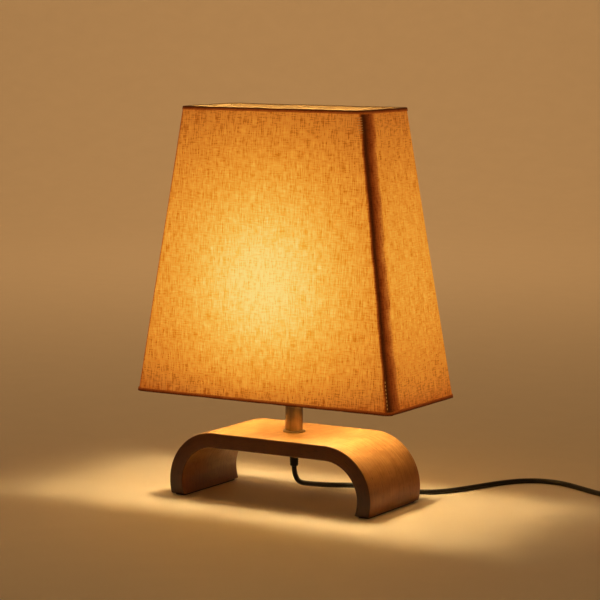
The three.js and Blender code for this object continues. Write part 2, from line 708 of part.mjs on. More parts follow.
// Drawn with the cord along X and the middle of the switch at X = 0.
function addSwitch() {
  const group = new THREE.Group();
  const [x, y] = onSwitchRun(SWITCH_LENGTH / 2, 0);
  group.position.set(x, y, 0);
  group.rotation.z = heading;
  lamp.add(group);

  const wall = 1.8;
  const bossRadius = 3;
  const bosses = [[-21, 7.2], [21, -7.2]];
  const block = raised(roundedPlate(SWITCH_LENGTH, SWITCH_WIDTH, 8, 4), 0, SWITCH_HEIGHT, 1.5);
  const pocket = cut(
    raised(roundedPlate(SWITCH_LENGTH - 10, SWITCH_WIDTH - 7, 4), wall, SWITCH_HEIGHT - 2 * wall),
    ...bosses.map(([bx, by]) => disc(bossRadius, 0, SWITCH_HEIGHT, 16).translate(bx, by, 0)));
  const cordWay = bar([-40, 0, SWITCH_MIDDLE], [40, 0, SWITCH_MIDDLE], CORD_RADIUS + GAP, 16);
  const screwWays = bosses.flatMap(([bx, by]) => [
    disc(1.5, 0.5, 12, 12).translate(bx, by, 0),
    disc(2.7, -1, 3.2, 16).translate(bx, by, 0),
  ]);
  const window = box([17, 11.6, 8], [0, 0, SWITCH_HEIGHT]);
  const shell = cut(block, pocket, cordWay, window, ...screwWays);

  const pivotZ = SWITCH_HEIGHT - 3.4;
  const ears = [-1, 1].map((side) => box([5, 1.8, 5.2], [0, side * 7.2, SWITCH_HEIGHT - wall - 2.4]));
  const pivotWay = bar([0, -8.5, pivotZ], [0, 8.5, pivotZ], 1.5, 12);
  const upperHalf = common(shell, box([80, 40, 20], [0, 0, SWITCH_MIDDLE + GAP / 2 + 10]));
  add('switch_upper_shell', cut(join(upperHalf, ...ears), pivotWay), 'blackPlastic', group);
  add('switch_lower_shell',
    common(shell, box([80, 40, 20], [0, 0, SWITCH_MIDDLE - GAP / 2 - 10])), 'blackPlastic', group);
  bosses.forEach(([bx, by], i) => {
    add(`switch_screw_${i + 1}`, turned([
      [0, 0.6],
      [2.3, 0.6],
      [2.3, 1.9],
      [1.15, 1.9],
      [1.15, 11.5],
      [0, 11.5],
    ], 12).translate(bx, by, 0), 'steel', group);
  });

  add('switch_rocker', rocker(pivotZ), 'blackPlastic', group);
  add('switch_terminal_in', box([6, 5, 5], [-17, -5.5, wall + GAP + 2.5]), 'brass', group);
  add('switch_terminal_out', box([6, 5, 5], [17, 5.5, wall + GAP + 2.5]), 'brass', group);
  add('switch_blade',
    strip([[-9, 3.2], [-4, 3.2], [4, 6.2], [9, 6.2]], 0.5, 4), 'brass', group);
}

// The key: a shallow V on top, a heel below and a pin out of each side, tipped to "on".
function rocker(pivotZ) {
  const half = 7.8;
  const profile = new THREE.Shape([
    [-half, 0.6],
    [-half + 1, -0.8],
    [-2, -1.8],
    [-1.4, -3.4],
    [1.4, -3.4],
    [2, -1.8],
    [half - 1, -0.8],
    [half, 0.6],
    [half, 4.2],
    [0, 3.2],
    [-half, 4.2],
  ].map(([px, pz]) => new THREE.Vector2(px, pz)));
  return join(acrossY(profile, 11), bar([0, -8, 0], [0, 8, 0], 1.2, 12))
    .rotateY(THREE.MathUtils.degToRad(ROCKER_TILT))
    .translate(0, 0, pivotZ);
}

// ---------------------------------------------------------------- plug

// Drawn with the cord entering along +X at X = 0.
function addPlug() {
  const group = new THREE.Group();
  group.position.set(TAIL_X, COIL_CENTRE[1] - PLUG_RUN, PLUG_MIDDLE);
  group.rotation.z = -Math.PI / 2;
  lamp.add(group);

  const half = PLUG_WIDTH / 2;
  const end = PLUG_RELIEF + PLUG_BODY;
  const outline = new THREE.Shape();
  outline.moveTo(PLUG_RELIEF - 3, -5);
  outline.bezierCurveTo(
    PLUG_RELIEF + 10, -6, PLUG_RELIEF + 12, -half + 3, PLUG_RELIEF + 22, -half + 3);
  outline.lineTo(end - 8, -half + 1);
  outline.lineTo(end, -half);
  outline.lineTo(end, half);
  outline.lineTo(end - 8, half - 1);
  outline.lineTo(PLUG_RELIEF + 22, half - 3);
  outline.bezierCurveTo(
    PLUG_RELIEF + 12, half - 3, PLUG_RELIEF + 10, 6, PLUG_RELIEF - 3, 5);
  outline.closePath();
  const thickness = 2 * PLUG_MIDDLE;
  const body = raised(outline, -PLUG_MIDDLE, thickness, 2);
  const sleeve = turned([
    [0, 0],
    [3.5, 0],
    [4.4, PLUG_RELIEF],
    [0, PLUG_RELIEF],
  ], 16).rotateY(Math.PI / 2);
  add('plug_body', join(body, sleeve), 'blackPlastic', group);
  for (const [name, side] of [['left', 1], ['right', -1]]) {
    const pinY = side * PIN_SPACING / 2;
    add(`plug_pin_${name}`,
      bar([end + GAP, pinY, 0], [end + GAP + PIN_LENGTH, pinY, 0], 2, 12), 'brass', group);
  }
}

addFoot();
addStem();
addLampholder();
addBulb();
addShade();
addCord();
addSwitch();
addPlug();

export default lamp;
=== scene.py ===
"""A bedside table lamp, switched on: linen shade, metal stem, arched wooden foot, black cord.

Sizes are in metres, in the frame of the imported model: x along the foot, y to the back, z up.
"""

import math

import bmesh
import bpy
import numpy as np
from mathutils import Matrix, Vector


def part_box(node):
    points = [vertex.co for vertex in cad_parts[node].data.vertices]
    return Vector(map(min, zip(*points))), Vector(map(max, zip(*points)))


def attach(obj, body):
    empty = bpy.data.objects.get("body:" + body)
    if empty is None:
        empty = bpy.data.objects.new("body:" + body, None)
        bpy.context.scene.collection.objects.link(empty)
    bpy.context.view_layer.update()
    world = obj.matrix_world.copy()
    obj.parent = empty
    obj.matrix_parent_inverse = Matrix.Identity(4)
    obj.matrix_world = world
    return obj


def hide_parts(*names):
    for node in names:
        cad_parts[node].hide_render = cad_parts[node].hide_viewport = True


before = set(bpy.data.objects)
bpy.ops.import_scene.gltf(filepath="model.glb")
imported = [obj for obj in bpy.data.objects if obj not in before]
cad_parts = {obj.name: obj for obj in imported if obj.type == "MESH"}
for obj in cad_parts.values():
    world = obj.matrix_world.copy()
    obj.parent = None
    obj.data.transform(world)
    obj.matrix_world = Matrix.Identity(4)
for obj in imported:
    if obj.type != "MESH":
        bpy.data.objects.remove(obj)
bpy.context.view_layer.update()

MM = 0.001

# ------------------------------------------------------------------ camera

EYE = Vector((1.2545335, -2.0309473, 0.5016884))
AIM = Vector((0.00704, 0.0, 0.20481))

camera = bpy.data.objects.new("camera", bpy.data.cameras.new("camera"))
bpy.context.scene.collection.objects.link(camera)
camera.data.sensor_width = 36
camera.data.lens = 142.39
camera.location = EYE
camera.rotation_euler = (AIM - EYE).to_track_quat("-Z", "Y").to_euler()
bpy.context.scene.camera = camera

# ------------------------------------------------------------------ shapes


def blended(low, high, values):
    """0 below low, 1 above high, and 3t^2 - 2t^3 between them."""
    t = np.clip((values - low) / (high - low), 0, 1)
    return t * t * (3 - 2 * t)


def rounded(points, radius, steps=4, closed=True):
    """Each corner of a profile becomes a short parabola that starts and ends `radius` from it."""
    p = np.array(points, float)
    to_last = np.roll(p, 1, 0) - p
    to_next = np.roll(p, -1, 0) - p
    reach = np.minimum(np.linalg.norm(to_last, axis=1), np.linalg.norm(to_next, axis=1)) * 0.45
    reach = np.minimum(reach, radius)
    if not closed:
        reach[[0, -1]] = 0
    start = p + to_last / np.linalg.norm(to_last, axis=1)[:, None] * reach[:, None]
    end = p + to_next / np.linalg.norm(to_next, axis=1)[:, None] * reach[:, None]
    t = np.linspace(0, 1, steps + 1)[None, :, None]
    arcs = (1 - t) ** 2 * start[:, None] + 2 * (1 - t) * t * p[:, None] + t**2 * end[:, None]
    line = arcs.reshape(-1, 2)
    moved = np.linalg.norm(np.diff(line, axis=0), axis=1) > 1e-9
    return line[np.concatenate([[True], moved])]


def turned(profile, steps=96):
    """A profile of (radius, height) points turned once round the z axis."""
    radius, height = np.array(profile, float).T
    angle = np.linspace(0, 2 * np.pi, steps, endpoint=False)
    return np.stack([
        np.outer(radius, np.cos(angle)),
        np.outer(radius, np.sin(angle)),
        np.repeat(height[:, None], steps, axis=1),
    ], axis=2)


def even(path, step):
    """The same line with its points an even step apart, by its length."""
    along = np.concatenate([[0], np.cumsum(np.linalg.norm(np.diff(path, axis=0), axis=1))])
    places = np.linspace(0, along[-1], max(2, int(round(along[-1] / step)) + 1))
    return np.stack([np.interp(places, along, path[:, k]) for k in range(3)], axis=1)


def smooth_path(points, step):
    """A centripetal Catmull-Rom curve through the points: between two of them, a cubic whose end
    slopes come from the neighbours, each weighed by the square root of its distance."""
    p = np.array(points, float)
    p = np.vstack([2 * p[0] - p[1], p, 2 * p[-1] - p[-2]])
    a, b, c, d = p[:-3], p[1:-2], p[2:-1], p[3:]
    before, here, after = (
        np.sqrt(np.linalg.norm(q - r, axis=1))[:, None] for q, r in ((b, a), (c, b), (d, c))
    )
    leave = ((b - a) / before - (c - a) / (before + here) + (c - b) / here) * here
    arrive = ((c - b) / here - (d - b) / (here + after) + (d - c) / after) * here
    t = np.linspace(0, 1, 32, endpoint=False)[None, :, None]
    curve = (
        (2 * t**3 - 3 * t**2 + 1) * b[:, None]
        + (t**3 - 2 * t**2 + t) * leave[:, None]
        + (3 * t**2 - 2 * t**3) * c[:, None]
        + (t**3 - t**2) * arrive[:, None]
    )
    return even(np.vstack([curve.reshape(-1, 3), p[-2]]), step)


def carried(path, section):
    """A closed section of (side, up) offsets carried along a path. The section turns with the
    path; up is near z, or near x where the path is steep."""
    tangent = np.gradient(path, axis=0)
    tangent /= np.linalg.norm(tangent, axis=1)[:, None]
    steep = blended(0.35, 0.85, np.abs(tangent[:, 2]))[:, None]
    lean = steep * np.array([1.0, 0, 0]) + (1 - steep) * np.array([0, 0, 1.0])
    side = np.cross(tangent, lean)
    side /= np.linalg.norm(side, axis=1)[:, None]
    up = np.cross(side, tangent)
    section = np.asarray(section, float)
    return (
        path[:, None]
        + section[..., 0:1] * side[:, None]
        + section[..., 1:2] * up[:, None]
    )


def tube(path, radius, sides=16):
    """A circle carried along a path, drawn in to a point at both ends over a rounded rim."""
    rim = min(0.25 * float(np.min(radius)), 0.4 * MM)
    angle = np.linspace(0, 2 * np.pi, sides, endpoint=False)
    circle = np.stack([np.cos(angle), np.sin(angle)], axis=1)
    grid = carried(path, circle[None] * np.broadcast_to(radius, len(path))[:, None, None])
    first, last = path[0], path[-1]
    inner = 1 - rim / float(np.min(radius))
    ahead = (path[1] - first) / np.linalg.norm(path[1] - first) * rim
    behind = (path[-2] - last) / np.linalg.norm(path[-2] - last) * rim
    start = np.stack([0 * grid[0] + first, first + inner * (grid[0] - first), grid[0] + ahead])
    end = np.stack([grid[-1] + behind, last + inner * (grid[-1] - last), 0 * grid[-1] + last])
    return np.concatenate([start, grid[1:-1], end])


def panels_round(counts, corner_steps):
    """The plan of a rounded rectangle, anticlockwise from the front end of its right side.
    Gives where each point stands on the inner rectangle of straight sides, from -1 to 1 along
    x and y, and the outward direction there."""
    stand, out = [], []
    signs = [(1, -1), (1, 1), (-1, 1), (-1, -1)]
    for side, (here, there) in enumerate(zip(signs, signs[1:] + signs[:1])):
        t = np.linspace(0, 1, counts[side % 2], endpoint=False)[:, None]
        stand.append((1 - t) * np.array(here) + t * np.array(there))
        straight = np.full(len(t), side * np.pi / 2)
        bend = (side + np.linspace(0, 1, corner_steps, endpoint=False)) * np.pi / 2
        stand.append(np.tile(np.array(there, float), (corner_steps, 1)))
        out.append(np.concatenate([straight, bend]))
    angle = np.concatenate(out)
    return np.vstack(stand), np.stack([np.cos(angle), np.sin(angle)], axis=1)


def plate(half_x, half_y, corner, profile, corner_steps=8):
    """A rounded rectangle lifted through a profile of (inset, height) rows; both ends are closed
    to a point in the middle."""
    stand, out = panels_round((6, 6), corner_steps)
    profile = np.array(profile, float)
    core = stand * [half_x - corner, half_y - corner]
    flat = core[None] + out[None] * (corner - profile[:, 0])[:, None, None]
    rows = np.concatenate([flat, np.repeat(profile[:, 1], len(stand)).reshape(-1, len(stand), 1)],
                          axis=2)
    ends = [np.full_like(rows[:1], 0) + [0, 0, profile[k, 1]] for k in (0, -1)]
    return np.concatenate([ends[0], rows, ends[1]])


def placed(grid, x, y, heading=0.0):
    """The grid turned about z by heading, in radians, and moved to x, y."""
    c, s = math.cos(heading), math.sin(heading)
    turned_points = np.asarray(grid) @ np.array([[c, s, 0], [-s, c, 0], [0, 0, 1]])
    return turned_points + [x, y, 0]


# ------------------------------------------------------------------ pieces


def closed_up(mesh, smooth, outwards=False):
    """Merges points that lie together, turns the faces outwards if asked, and shades the mesh
    smooth but for edges sharper than an angle in degrees."""
    work = bmesh.new()
    work.from_mesh(mesh)
    bmesh.ops.remove_doubles(work, verts=work.verts, dist=1e-6)
    if outwards:
        bmesh.ops.recalc_face_normals(work, faces=work.faces)
    work.to_mesh(mesh)
    work.free()
    mesh.polygons.foreach_set("use_smooth", np.ones(len(mesh.polygons), bool))
    mesh.set_sharp_from_angle(angle=math.radians(smooth))
    return mesh


def mesh_of(name, *grids, wrap_rows=False, smooth=40, uv=None, **values):
    """A closed mesh from grids of points whose columns run round. Values are per point; uv gives
    the (u, v) of each face's four corners, in the order of its points."""
    mesh = bpy.data.meshes.new(name)
    points, faces, start = [], [], 0
    for grid in grids:
        rows, columns = grid.shape[:2]
        number = start + np.arange(rows * columns).reshape(rows, columns)
        if wrap_rows:
            number = np.vstack([number, number[:1]])
        right = np.roll(number, -1, 1)
        quads = np.stack([number[:-1], right[:-1], right[1:], number[1:]], axis=2)
        faces.append(quads.reshape(-1, 4))
        points.append(grid.reshape(-1, 3))
        start += rows * columns
    mesh.from_pydata(np.vstack(points), [], np.vstack(faces))
    for key, value in values.items():
        kind = "FLOAT" if np.ndim(value) == 2 else "FLOAT_VECTOR"
        attribute = mesh.attributes.new(key, kind, "POINT")
        field = "value" if kind == "FLOAT" else "vector"
        attribute.data.foreach_set(field, np.asarray(value, np.float32).ravel())
    if uv is not None:
        mesh.uv_layers.new(name="cloth").uv.foreach_set(
            "vector", np.asarray(uv, np.float32).ravel())
    return closed_up(mesh, smooth, outwards=True)


def show(name, mesh, finish, slot, body, *stands_for):
    """Puts a mesh in the scene as a piece that rides on a body and stands for CAD nodes."""
    piece = bpy.data.objects.new(name, mesh)
    bpy.context.scene.collection.objects.link(piece)
    mesh.materials.clear()
    mesh.materials.append(finish)
    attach(piece, body)
    if stands_for:
        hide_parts(*stands_for)
    return piece


def merged_copy(node_name, smooth=30):
    """The CAD node's own shape with its loose triangles merged, for smooth shading."""
    return closed_up(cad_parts[node_name].data.copy(), smooth)


def without(mesh, *cutters):
    """The mesh with the cutters' shapes taken out of it."""
    target = bpy.data.objects.new("target", mesh)
    bpy.context.scene.collection.objects.link(target)
    tools = []
    for cutter in cutters:
        tool = bpy.data.objects.new("tool", cutter)
        bpy.context.scene.collection.objects.link(tool)
        change = target.modifiers.new("cut", "BOOLEAN")
        change.operation = "DIFFERENCE"
        change.solver = "EXACT"
        change.object = tool
        tools.append(tool)
    bpy.context.view_layer.update()
    result = bpy.data.meshes.new_from_object(
        target.evaluated_get(bpy.context.evaluated_depsgraph_get()))
    result.name = mesh.name
    for old in [target, *tools]:
        bpy.data.objects.remove(old)
    return result


# ------------------------------------------------------------------ finishes


def linear(hex_colour):
    """An sRGB hex colour as linear red, green, blue and alpha."""
    value = np.array([int(hex_colour[i : i + 2], 16) for i in (0, 2, 4)]) / 255
    value = np.where(value <= 0.04045, value / 12.92, ((value + 0.055) / 1.055) ** 2.4)
    return (*value.tolist(), 1.0)


def node(tree, kind, inputs=None, stops=None, out=0, **settings):
    """Adds a shader node and gives one of its outputs. Inputs are values, or the outputs that
    feed them; stops are a colour ramp's (position, hex colour) pairs."""
    made = tree.nodes.new("ShaderNode" + kind)
    for key, value in settings.items():
        setattr(made, key, value)
    for key, value in (inputs or {}).items():
        if isinstance(value, bpy.types.NodeSocket):
            tree.links.new(value, made.inputs[key])
        else:
            made.inputs[key].default_value = value
    if stops:
        ramp = made.color_ramp.elements
        while len(ramp) < len(stops):
            ramp.new(1.0)
        for element, (position, colour) in zip(ramp, stops):
            element.position = position
            element.color = linear(colour)
    return made.outputs[out]


def finish(name, values):
    """A new material with these values on its Principled shader: (material, tree, shader)."""
    material = bpy.data.materials.new(name)
    material.use_nodes = True
    shader = material.node_tree.nodes["Principled BSDF"]
    for key, value in values.items():
        shader.inputs[key].default_value = value
    return material, material.node_tree, shader


def feed(shader, sources):
    """Links each output to the shader's input of that name."""
    for key, output in sources.items():
        shader.id_data.links.new(output, shader.inputs[key])


def patterns(tree, place, *rows):
    """A smooth random pattern for each row of (size in millimetres along x, y and z, detail)."""
    return [
        node(tree, "TexNoise", {
            "Vector": node(tree, "Mapping", {
                "Vector": place, "Scale": 1 / (np.broadcast_to(size, 3) * MM)}),
            "Scale": 1.0,
            "Detail": detail,
        })
        for size, detail in rows
    ]


def grained(name, base, dark, grain, roughness, spread, bump, values=None):
    """A moulded, cast or drawn surface: a noise of `grain` millimetres moves its colour between
    base and dark, its roughness by `spread`, and its height by `bump` millimetres."""
    material, tree, shader = finish(name, values or {})
    noise = patterns(tree, node(tree, "TexCoord", out="Object"), (grain, 3.0))[0]
    feed(shader, {
        "Base Color": node(tree, "ValToRGB", {"Fac": noise}, stops=[(0.3, dark), (0.7, base)]),
        "Roughness": node(tree, "MapRange", {
            "Value": noise, "From Min": 0.3, "From Max": 0.7,
            "To Min": roughness - spread, "To Max": roughness + spread}),
        "Normal": node(tree, "Bump", {"Height": noise, "Distance": bump * MM, "Strength": 1.0}),
    })
    return material


# The light that comes through the linen, from hardly any to the brightest place beside the bulb.
THROUGH_LINEN = [
    (0.0, "2a0c01"), (0.06, "6a2606"), (0.15, "9c4a14"), (0.24, "bb6c24"), (0.31, "cf7a26"),
    (0.41, "e08d2e"), (0.51, "ea9d35"), (0.62, "f0ac42"), (0.78, "f5c156"), (0.9, "f6cd6b"),
    (1.0, "f8da80"),
]
BACKING_FILM = "ab9a7b"


def woven(name, thick_yarn, thin_yarn, strength):
    """Plain-woven linen lit from behind."""
    material, tree, shader = finish(name, {
        "Roughness": 0.9, "Sheen Weight": 0.06, "Sheen Roughness": 0.5,
        "Emission Strength": strength,
    })
    # Yarns lie about 1.1 mm apart both ways, and each one swells and thins over some 10 mm.
    warp, weft, slub, fleck, band, patch = patterns(
        tree, node(tree, "UVMap", uv_map="cloth"),
        ((1.1, 11, 1000), 2.0), ((9, 1.1, 1000), 2.0), ((1.3, 5.5, 1000), 0.0),
        ((6, 1.2, 1000), 0.0), ((3.6, 60, 1000), 1.0), ((13, 15, 1000), 2.0))
    weave = node(tree, "Math", {0: weft, 1: 0.72, 2: warp}, operation="MULTIPLY_ADD")
    weave = node(tree, "MapRange", {
        "Value": weave, "From Min": 0.5, "From Max": 1.22, "To Min": 0.7, "To Max": 1.3})
    for part in (patch, band):
        weave = node(tree, "Math", {0: part, 1: 0.16, 2: weave}, operation="MULTIPLY_ADD")
    weave = node(tree, "Math", {0: weave, 1: 0.16}, operation="SUBTRACT")
    # Thick places in a yarn hold back more light and show as short dark dashes.
    thick = node(tree, "MapRange", {"Value": slub, "From Min": 0.765, "From Max": 0.83})
    thick_weft = node(tree, "MapRange", {
        "Value": fleck, "From Min": 0.83, "From Max": 0.9, "To Max": 0.6})
    passed = 1.0
    for part in (thick, thick_weft):
        passed = node(tree, "Math", {0: part, 1: -0.2, 2: passed}, operation="MULTIPLY_ADD")
    weave = node(tree, "Math", {0: weave, 1: passed}, operation="MULTIPLY")
    # Far from the bulb the light comes at a slant, and the yarns stand out more.
    light = node(tree, "Attribute", out="Fac", attribute_name="glow")
    contrast = node(tree, "MapRange", {
        "Value": light, "From Min": 0.25, "From Max": 0.9, "To Min": 2.1, "To Max": 1.0})
    weave = node(tree, "Math", {0: weave, 1: 1.0}, operation="SUBTRACT")
    weave = node(tree, "Math", {0: weave, 1: contrast, 2: 1.0}, operation="MULTIPLY_ADD")
    weave = node(tree, "Math", {0: weave, 1: 0.66}, operation="MAXIMUM")
    through = node(tree, "Math", {0: light, 1: weave}, operation="MULTIPLY")
    glow = node(tree, "ValToRGB", {"Fac": through}, stops=THROUGH_LINEN)
    # A thicker yarn takes more of the blue out of the light.
    yellowed = node(tree, "ValToRGB", {"Fac": weave}, stops=[(0.66, "fff6a4"), (1.0, "ffffff")])
    glow = node(tree, "VectorMath", {0: glow, 1: yellowed}, operation="MULTIPLY")
    # The cloth is backed with a pale film, which the bulb lights directly.
    outside = node(tree, "Attribute", out="Fac", attribute_name="outside")
    # Inside, the film also gives off a small share (0.12) of the painted glow.
    share = node(tree, "MapRange", {"Value": outside, "To Min": 0.12})
    # Painted shade: the folded layers hold shadow between them, so the yarns' colour is darkened
    # there.
    open_side = node(tree, "Attribute", out="Fac", attribute_name="open_side")
    dyed = node(tree, "ValToRGB", {"Fac": weave}, stops=[(0.6, thick_yarn), (1.0, thin_yarn)])
    seen = node(tree, "VectorMath", {0: dyed, "Scale": open_side}, operation="SCALE")
    feed(shader, {
        "Emission Color": node(tree, "VectorMath", {0: glow, "Scale": share}, operation="SCALE"),
        "Base Color": node(tree, "MixRGB", {
            "Fac": outside, "Color1": linear(BACKING_FILM), "Color2": seen}),
        "Normal": node(tree, "Bump", {
            "Height": weave, "Distance": 0.25 * MM, "Strength": 0.7}),
    })
    return material


# Flax linen, woven in natural yarn and pulled tight over the frame: soft, matt, with slubs.
linen = woven("woven_linen", "7e440c", "b97c2c", 0.95)

# The same linen, several layers thick where it is rolled round the wires. Its darker brown
# is painted shade, for the layers that hold back the light from behind.
hem_linen = woven("rolled_linen_painted_shade", "3f1f08", "5f3512", 0.85)

foot_low, foot_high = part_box("bridge_foot")
YEAR_RING = 3.2 * MM


def bent_beech():
    """Beech, steamed and bent, sanded and lacquered: honey coloured, with rings that run along
    the plank, a curly figure, short dark pores and a low satin gloss."""
    material, tree, shader = finish("bent_beech", {"Coat Weight": 0.25, "Coat Roughness": 0.3})
    # Coordinates along the plank's developed length, across its width and through it.
    plank = node(tree, "Attribute", out="Vector", attribute_name="grain")
    fibre, pore, cloud, curl = patterns(
        tree, plank, ((38, 0.9, 0.9), 3.0), ((6, 0.7, 0.7), 0.0), ((90, 30, 30), 2.0),
        ((9, 22, 22), 2.0))
    # The rings' middle lies below and beside the plank, and drifts along it.
    drift = node(tree, "TexNoise", {
        "Vector": node(tree, "Mapping", {
            "Vector": plank, "Scale": [1 / (70 * MM), 1 / (26 * MM), 1 / (26 * MM)]}),
        "Scale": 1.0, "Detail": 2.0}, out="Color")
    wandering = node(tree, "VectorMath", {0: drift, 1: (0, 26 * MM, 16 * MM), 2: plank},
                     operation="MULTIPLY_ADD")
    wandering = node(tree, "VectorMath", {0: wandering, 1: (0, -25 * MM, -42 * MM)},
                     operation="ADD")
    # A ring pattern repeats each 2 pi / (20 x scale).
    rings = node(tree, "TexWave", {
        "Vector": wandering, "Scale": 2 * math.pi / (20 * YEAR_RING),
        "Distortion": 1.2, "Detail": 2.0, "Detail Scale": 0.6,
    }, out="Fac", wave_type="RINGS", rings_direction="X", wave_profile="SAW")
    pores = node(tree, "MapRange", {"Value": pore, "From Min": 0.68, "From Max": 0.8})
    tone = fibre
    for part, share in ((rings, 0.3), (cloud, 0.6), (curl, 1.1), (pores, -0.9)):
        tone = node(tree, "Math", {0: part, 1: share, 2: tone}, operation="MULTIPLY_ADD")
    tone = node(tree, "MapRange", {"Value": tone, "From Min": 0.6, "From Max": 1.98})
    stain_and_painted_shade = node(tree, "ValToRGB", {"Fac": tone}, stops=[
        (0.0, "7f582e"), (0.3, "aa7c48"), (0.55, "be9159"), (0.8, "cda268"), (1.0, "dab37a")])
    # Painted shade: the plank's front and back faces are painted browner, and so are its
    # bends and legs, where the bulb's light does not reach.
    for axis, clear, full, painted_shade_tint in (
        ("Y", foot_high[1] - 1.4 * MM, foot_high[1] - 0.3 * MM, "745129"),
        ("X", 85 * MM, 145 * MM, "ab723f"),
    ):
        place = node(tree, "SeparateXYZ", {"Vector": plank}, out=axis)
        reach = node(tree, "Math", {0: place}, operation="ABSOLUTE")
        share = node(tree, "MapRange", {"Value": reach, "From Min": clear, "From Max": full},
                     interpolation_type="SMOOTHSTEP")
        painted_shade_factor = node(tree, "MixRGB", {
            "Fac": share, "Color1": linear("ffffff"), "Color2": linear(painted_shade_tint)})
        stain_and_painted_shade = node(tree, "VectorMath", {0: stain_and_painted_shade, 1: painted_shade_factor}, operation="MULTIPLY")
    feed(shader, {
        "Base Color": stain_and_painted_shade,
        "Roughness": node(tree, "MapRange", {"Value": tone, "To Min": 0.52, "To Max": 0.38}),
        "Normal": node(tree, "Bump", {"Height": tone, "Distance": 0.06 * MM, "Strength": 0.8}),
    })
    return material


beech = bent_beech()

# Pressed wool felt: dark, fibrous and quite matt.
felt = grained("pressed_felt", "2b2622", "151210", 0.6, 0.95, 0.03, 0.2, {"Sheen Weight": 0.4})

# Steel tube, nickel plated and brushed along its length: a soft, warm grey with upright bands.
satin_nickel = grained("satin_nickel", "a3917a", "877662", (0.5, 0.5, 30), 0.33, 0.05, 0.01,
                       {"Metallic": 1.0, "Anisotropic": 0.4})

# Zinc-plated steel, turned: cool grey and slightly uneven.
zinc_steel = grained("zinc_plated_steel", "b9bab8", "92938f", 2, 0.36, 0.08, 0.01,
                     {"Metallic": 1.0})

# Brass, stamped or turned from bar: yellow metal with a little tarnish.
brass = grained("turned_brass", "c7a257", "9b7836", 2.5, 0.32, 0.08, 0.01, {"Metallic": 1.0})

# Nickel-plated brass pins: bright and smooth.
nickel_pin = grained("nickel_plated_brass", "cfc8b8", "b5ad9c", 3, 0.22, 0.05, 0.005,
                     {"Metallic": 1.0})

# Phenolic resin, moulded under pressure: near black, with a low gloss.
phenolic = grained("moulded_phenolic", "1c1917", "100e0d", 1.5, 0.36, 0.06, 0.02, {"IOR": 1.6})

# ABS, moulded in a spark-textured tool: black, with a fine even grain.
abs_plastic = grained("textured_abs", "1b1a1a", "121111", 0.45, 0.48, 0.05, 0.05, {"IOR": 1.54})

# Steatite, pressed and fired unglazed: an off-white ceramic.
steatite = grained("fired_steatite", "e6dfd0", "cfc6b4", 1.2, 0.62, 0.06, 0.03)

# Steel wire with a white powder coat: a slight orange-peel surface.
coated_wire = grained("powder_coated_wire", "ece5d6", "dcd3c1", 0.9, 0.42, 0.05, 0.03)

# Drawn aluminium screw cap of the bulb: pale grey, with upright drawing lines.
aluminium = grained("drawn_aluminium", "cfcfcd", "b3b3b1", (0.4, 0.4, 4), 0.34, 0.06, 0.01,
                    {"Metallic": 1.0})

# Soft PVC, extruded: black, smooth and faintly uneven, with a soft shine.
pvc = grained("extruded_pvc", "141313", "0b0a0a", 3, 0.36, 0.06, 0.05, {"IOR": 1.53})

# Nylon hook-and-loop tape: black and fuzzy.
nylon_tape = grained("looped_nylon_tape", "232222", "0f0e0e", 0.5, 0.85, 0.05, 0.2,
                     {"Sheen Weight": 0.5})

# Cotton sewing thread, twisted: a dull straw colour with a soft nap, lit through a little.
thread = grained("cotton_thread", "c79a5c", "9a6a30", 0.5, 0.85, 0.05, 0.1, {
    "Sheen Weight": 0.1, "Emission Color": linear("c9883e"), "Emission Strength": 0.4})

# Opal glass, blown: white and softly shining when lit.
opal_glass = grained("lit_opal_glass", "fff6e6", "fbeed8", 8, 0.28, 0.03, 0.005, {
    "Emission Color": linear("ffd894"), "Emission Strength": 84.0})

# Clear glass of the bulb's mount, pressed: smooth and see-through.
clear_glass = grained("pressed_glass", "f2f6f6", "e6ecec", 5, 0.08, 0.02, 0.01, {
    "Transmission Weight": 0.9, "IOR": 1.5})

# Phosphor paste over the filament's light-giving chips: yellow and matt.
phosphor = grained("phosphor_paste", "f0b84a", "d89a34", 0.6, 0.6, 0.05, 0.05, {
    "Emission Color": linear("ffb44a"), "Emission Strength": 10.0})

# ------------------------------------------------------------------ cords

CORD = 5.2 * MM

# The round cord leaves the sleeve under the foot, runs out behind it and away to the right.
SWITCH_ENTRY = np.array([300.0, 149.8])
SWITCH_HEADING = math.radians(-30)
SWITCH_LENGTH = 62.0
ALONG = np.array([math.cos(SWITCH_HEADING), math.sin(SWITCH_HEADING)])


def on_switch_run(distance, height):
    """A point in millimetres on the straight run through the inline switch."""
    return [*(SWITCH_ENTRY + distance * ALONG), height]


LAMP_SIDE_ROUTE = [
    [0, 0, 33.5],
    [0, 0.5, 29.1],
    [0, 1.9, 24.9],
    [0, 4.1, 21.1],
    [0, 7.1, 17.9],
    [0.1, 10.8, 15.4],
    [0.2, 15.2, 13.6],
    [0.4, 22, 11.8],
    [0.8, 33, 9.3],
    [1.8, 45, 6.8],
    [4.2, 56, 4.6],
    [9.5, 66.5, 3.1],
    [18, 74, 2.6],
    [29, 78.2, 2.6],
    [42, 79.8, 2.6],
    [60, 80.2, 2.6],
    [80, 80.4, 2.6],
    [97, 82.6, 2.6],
    [111, 89.6, 2.6],
    [122, 101.5, 2.6],
    [130, 117, 2.6],
    [137, 134, 2.6],
    [144, 152, 2.6],
    [152, 170, 2.6],
    [162.5, 186.5, 2.6],
    [177, 198, 2.6],
    [195, 201.5, 2.6],
    [214, 197, 2.6],
    [234, 187, 2.6],
    [250, 178.4, 2.6],
    [265, 170, 3],
    [279, 162, 4.6],
    on_switch_run(-10, 7.2),
    on_switch_run(-0.3, 7.8),
]

lamp_side_path = smooth_path(np.array(LAMP_SIDE_ROUTE) * MM, 2.5 * MM)
lamp_side = show("lamp_side_cord", mesh_of("lamp_side_cord", tube(lamp_side_path, CORD / 2)),
                 pvc, "black_pvc", "base", "cord_lamp_side")


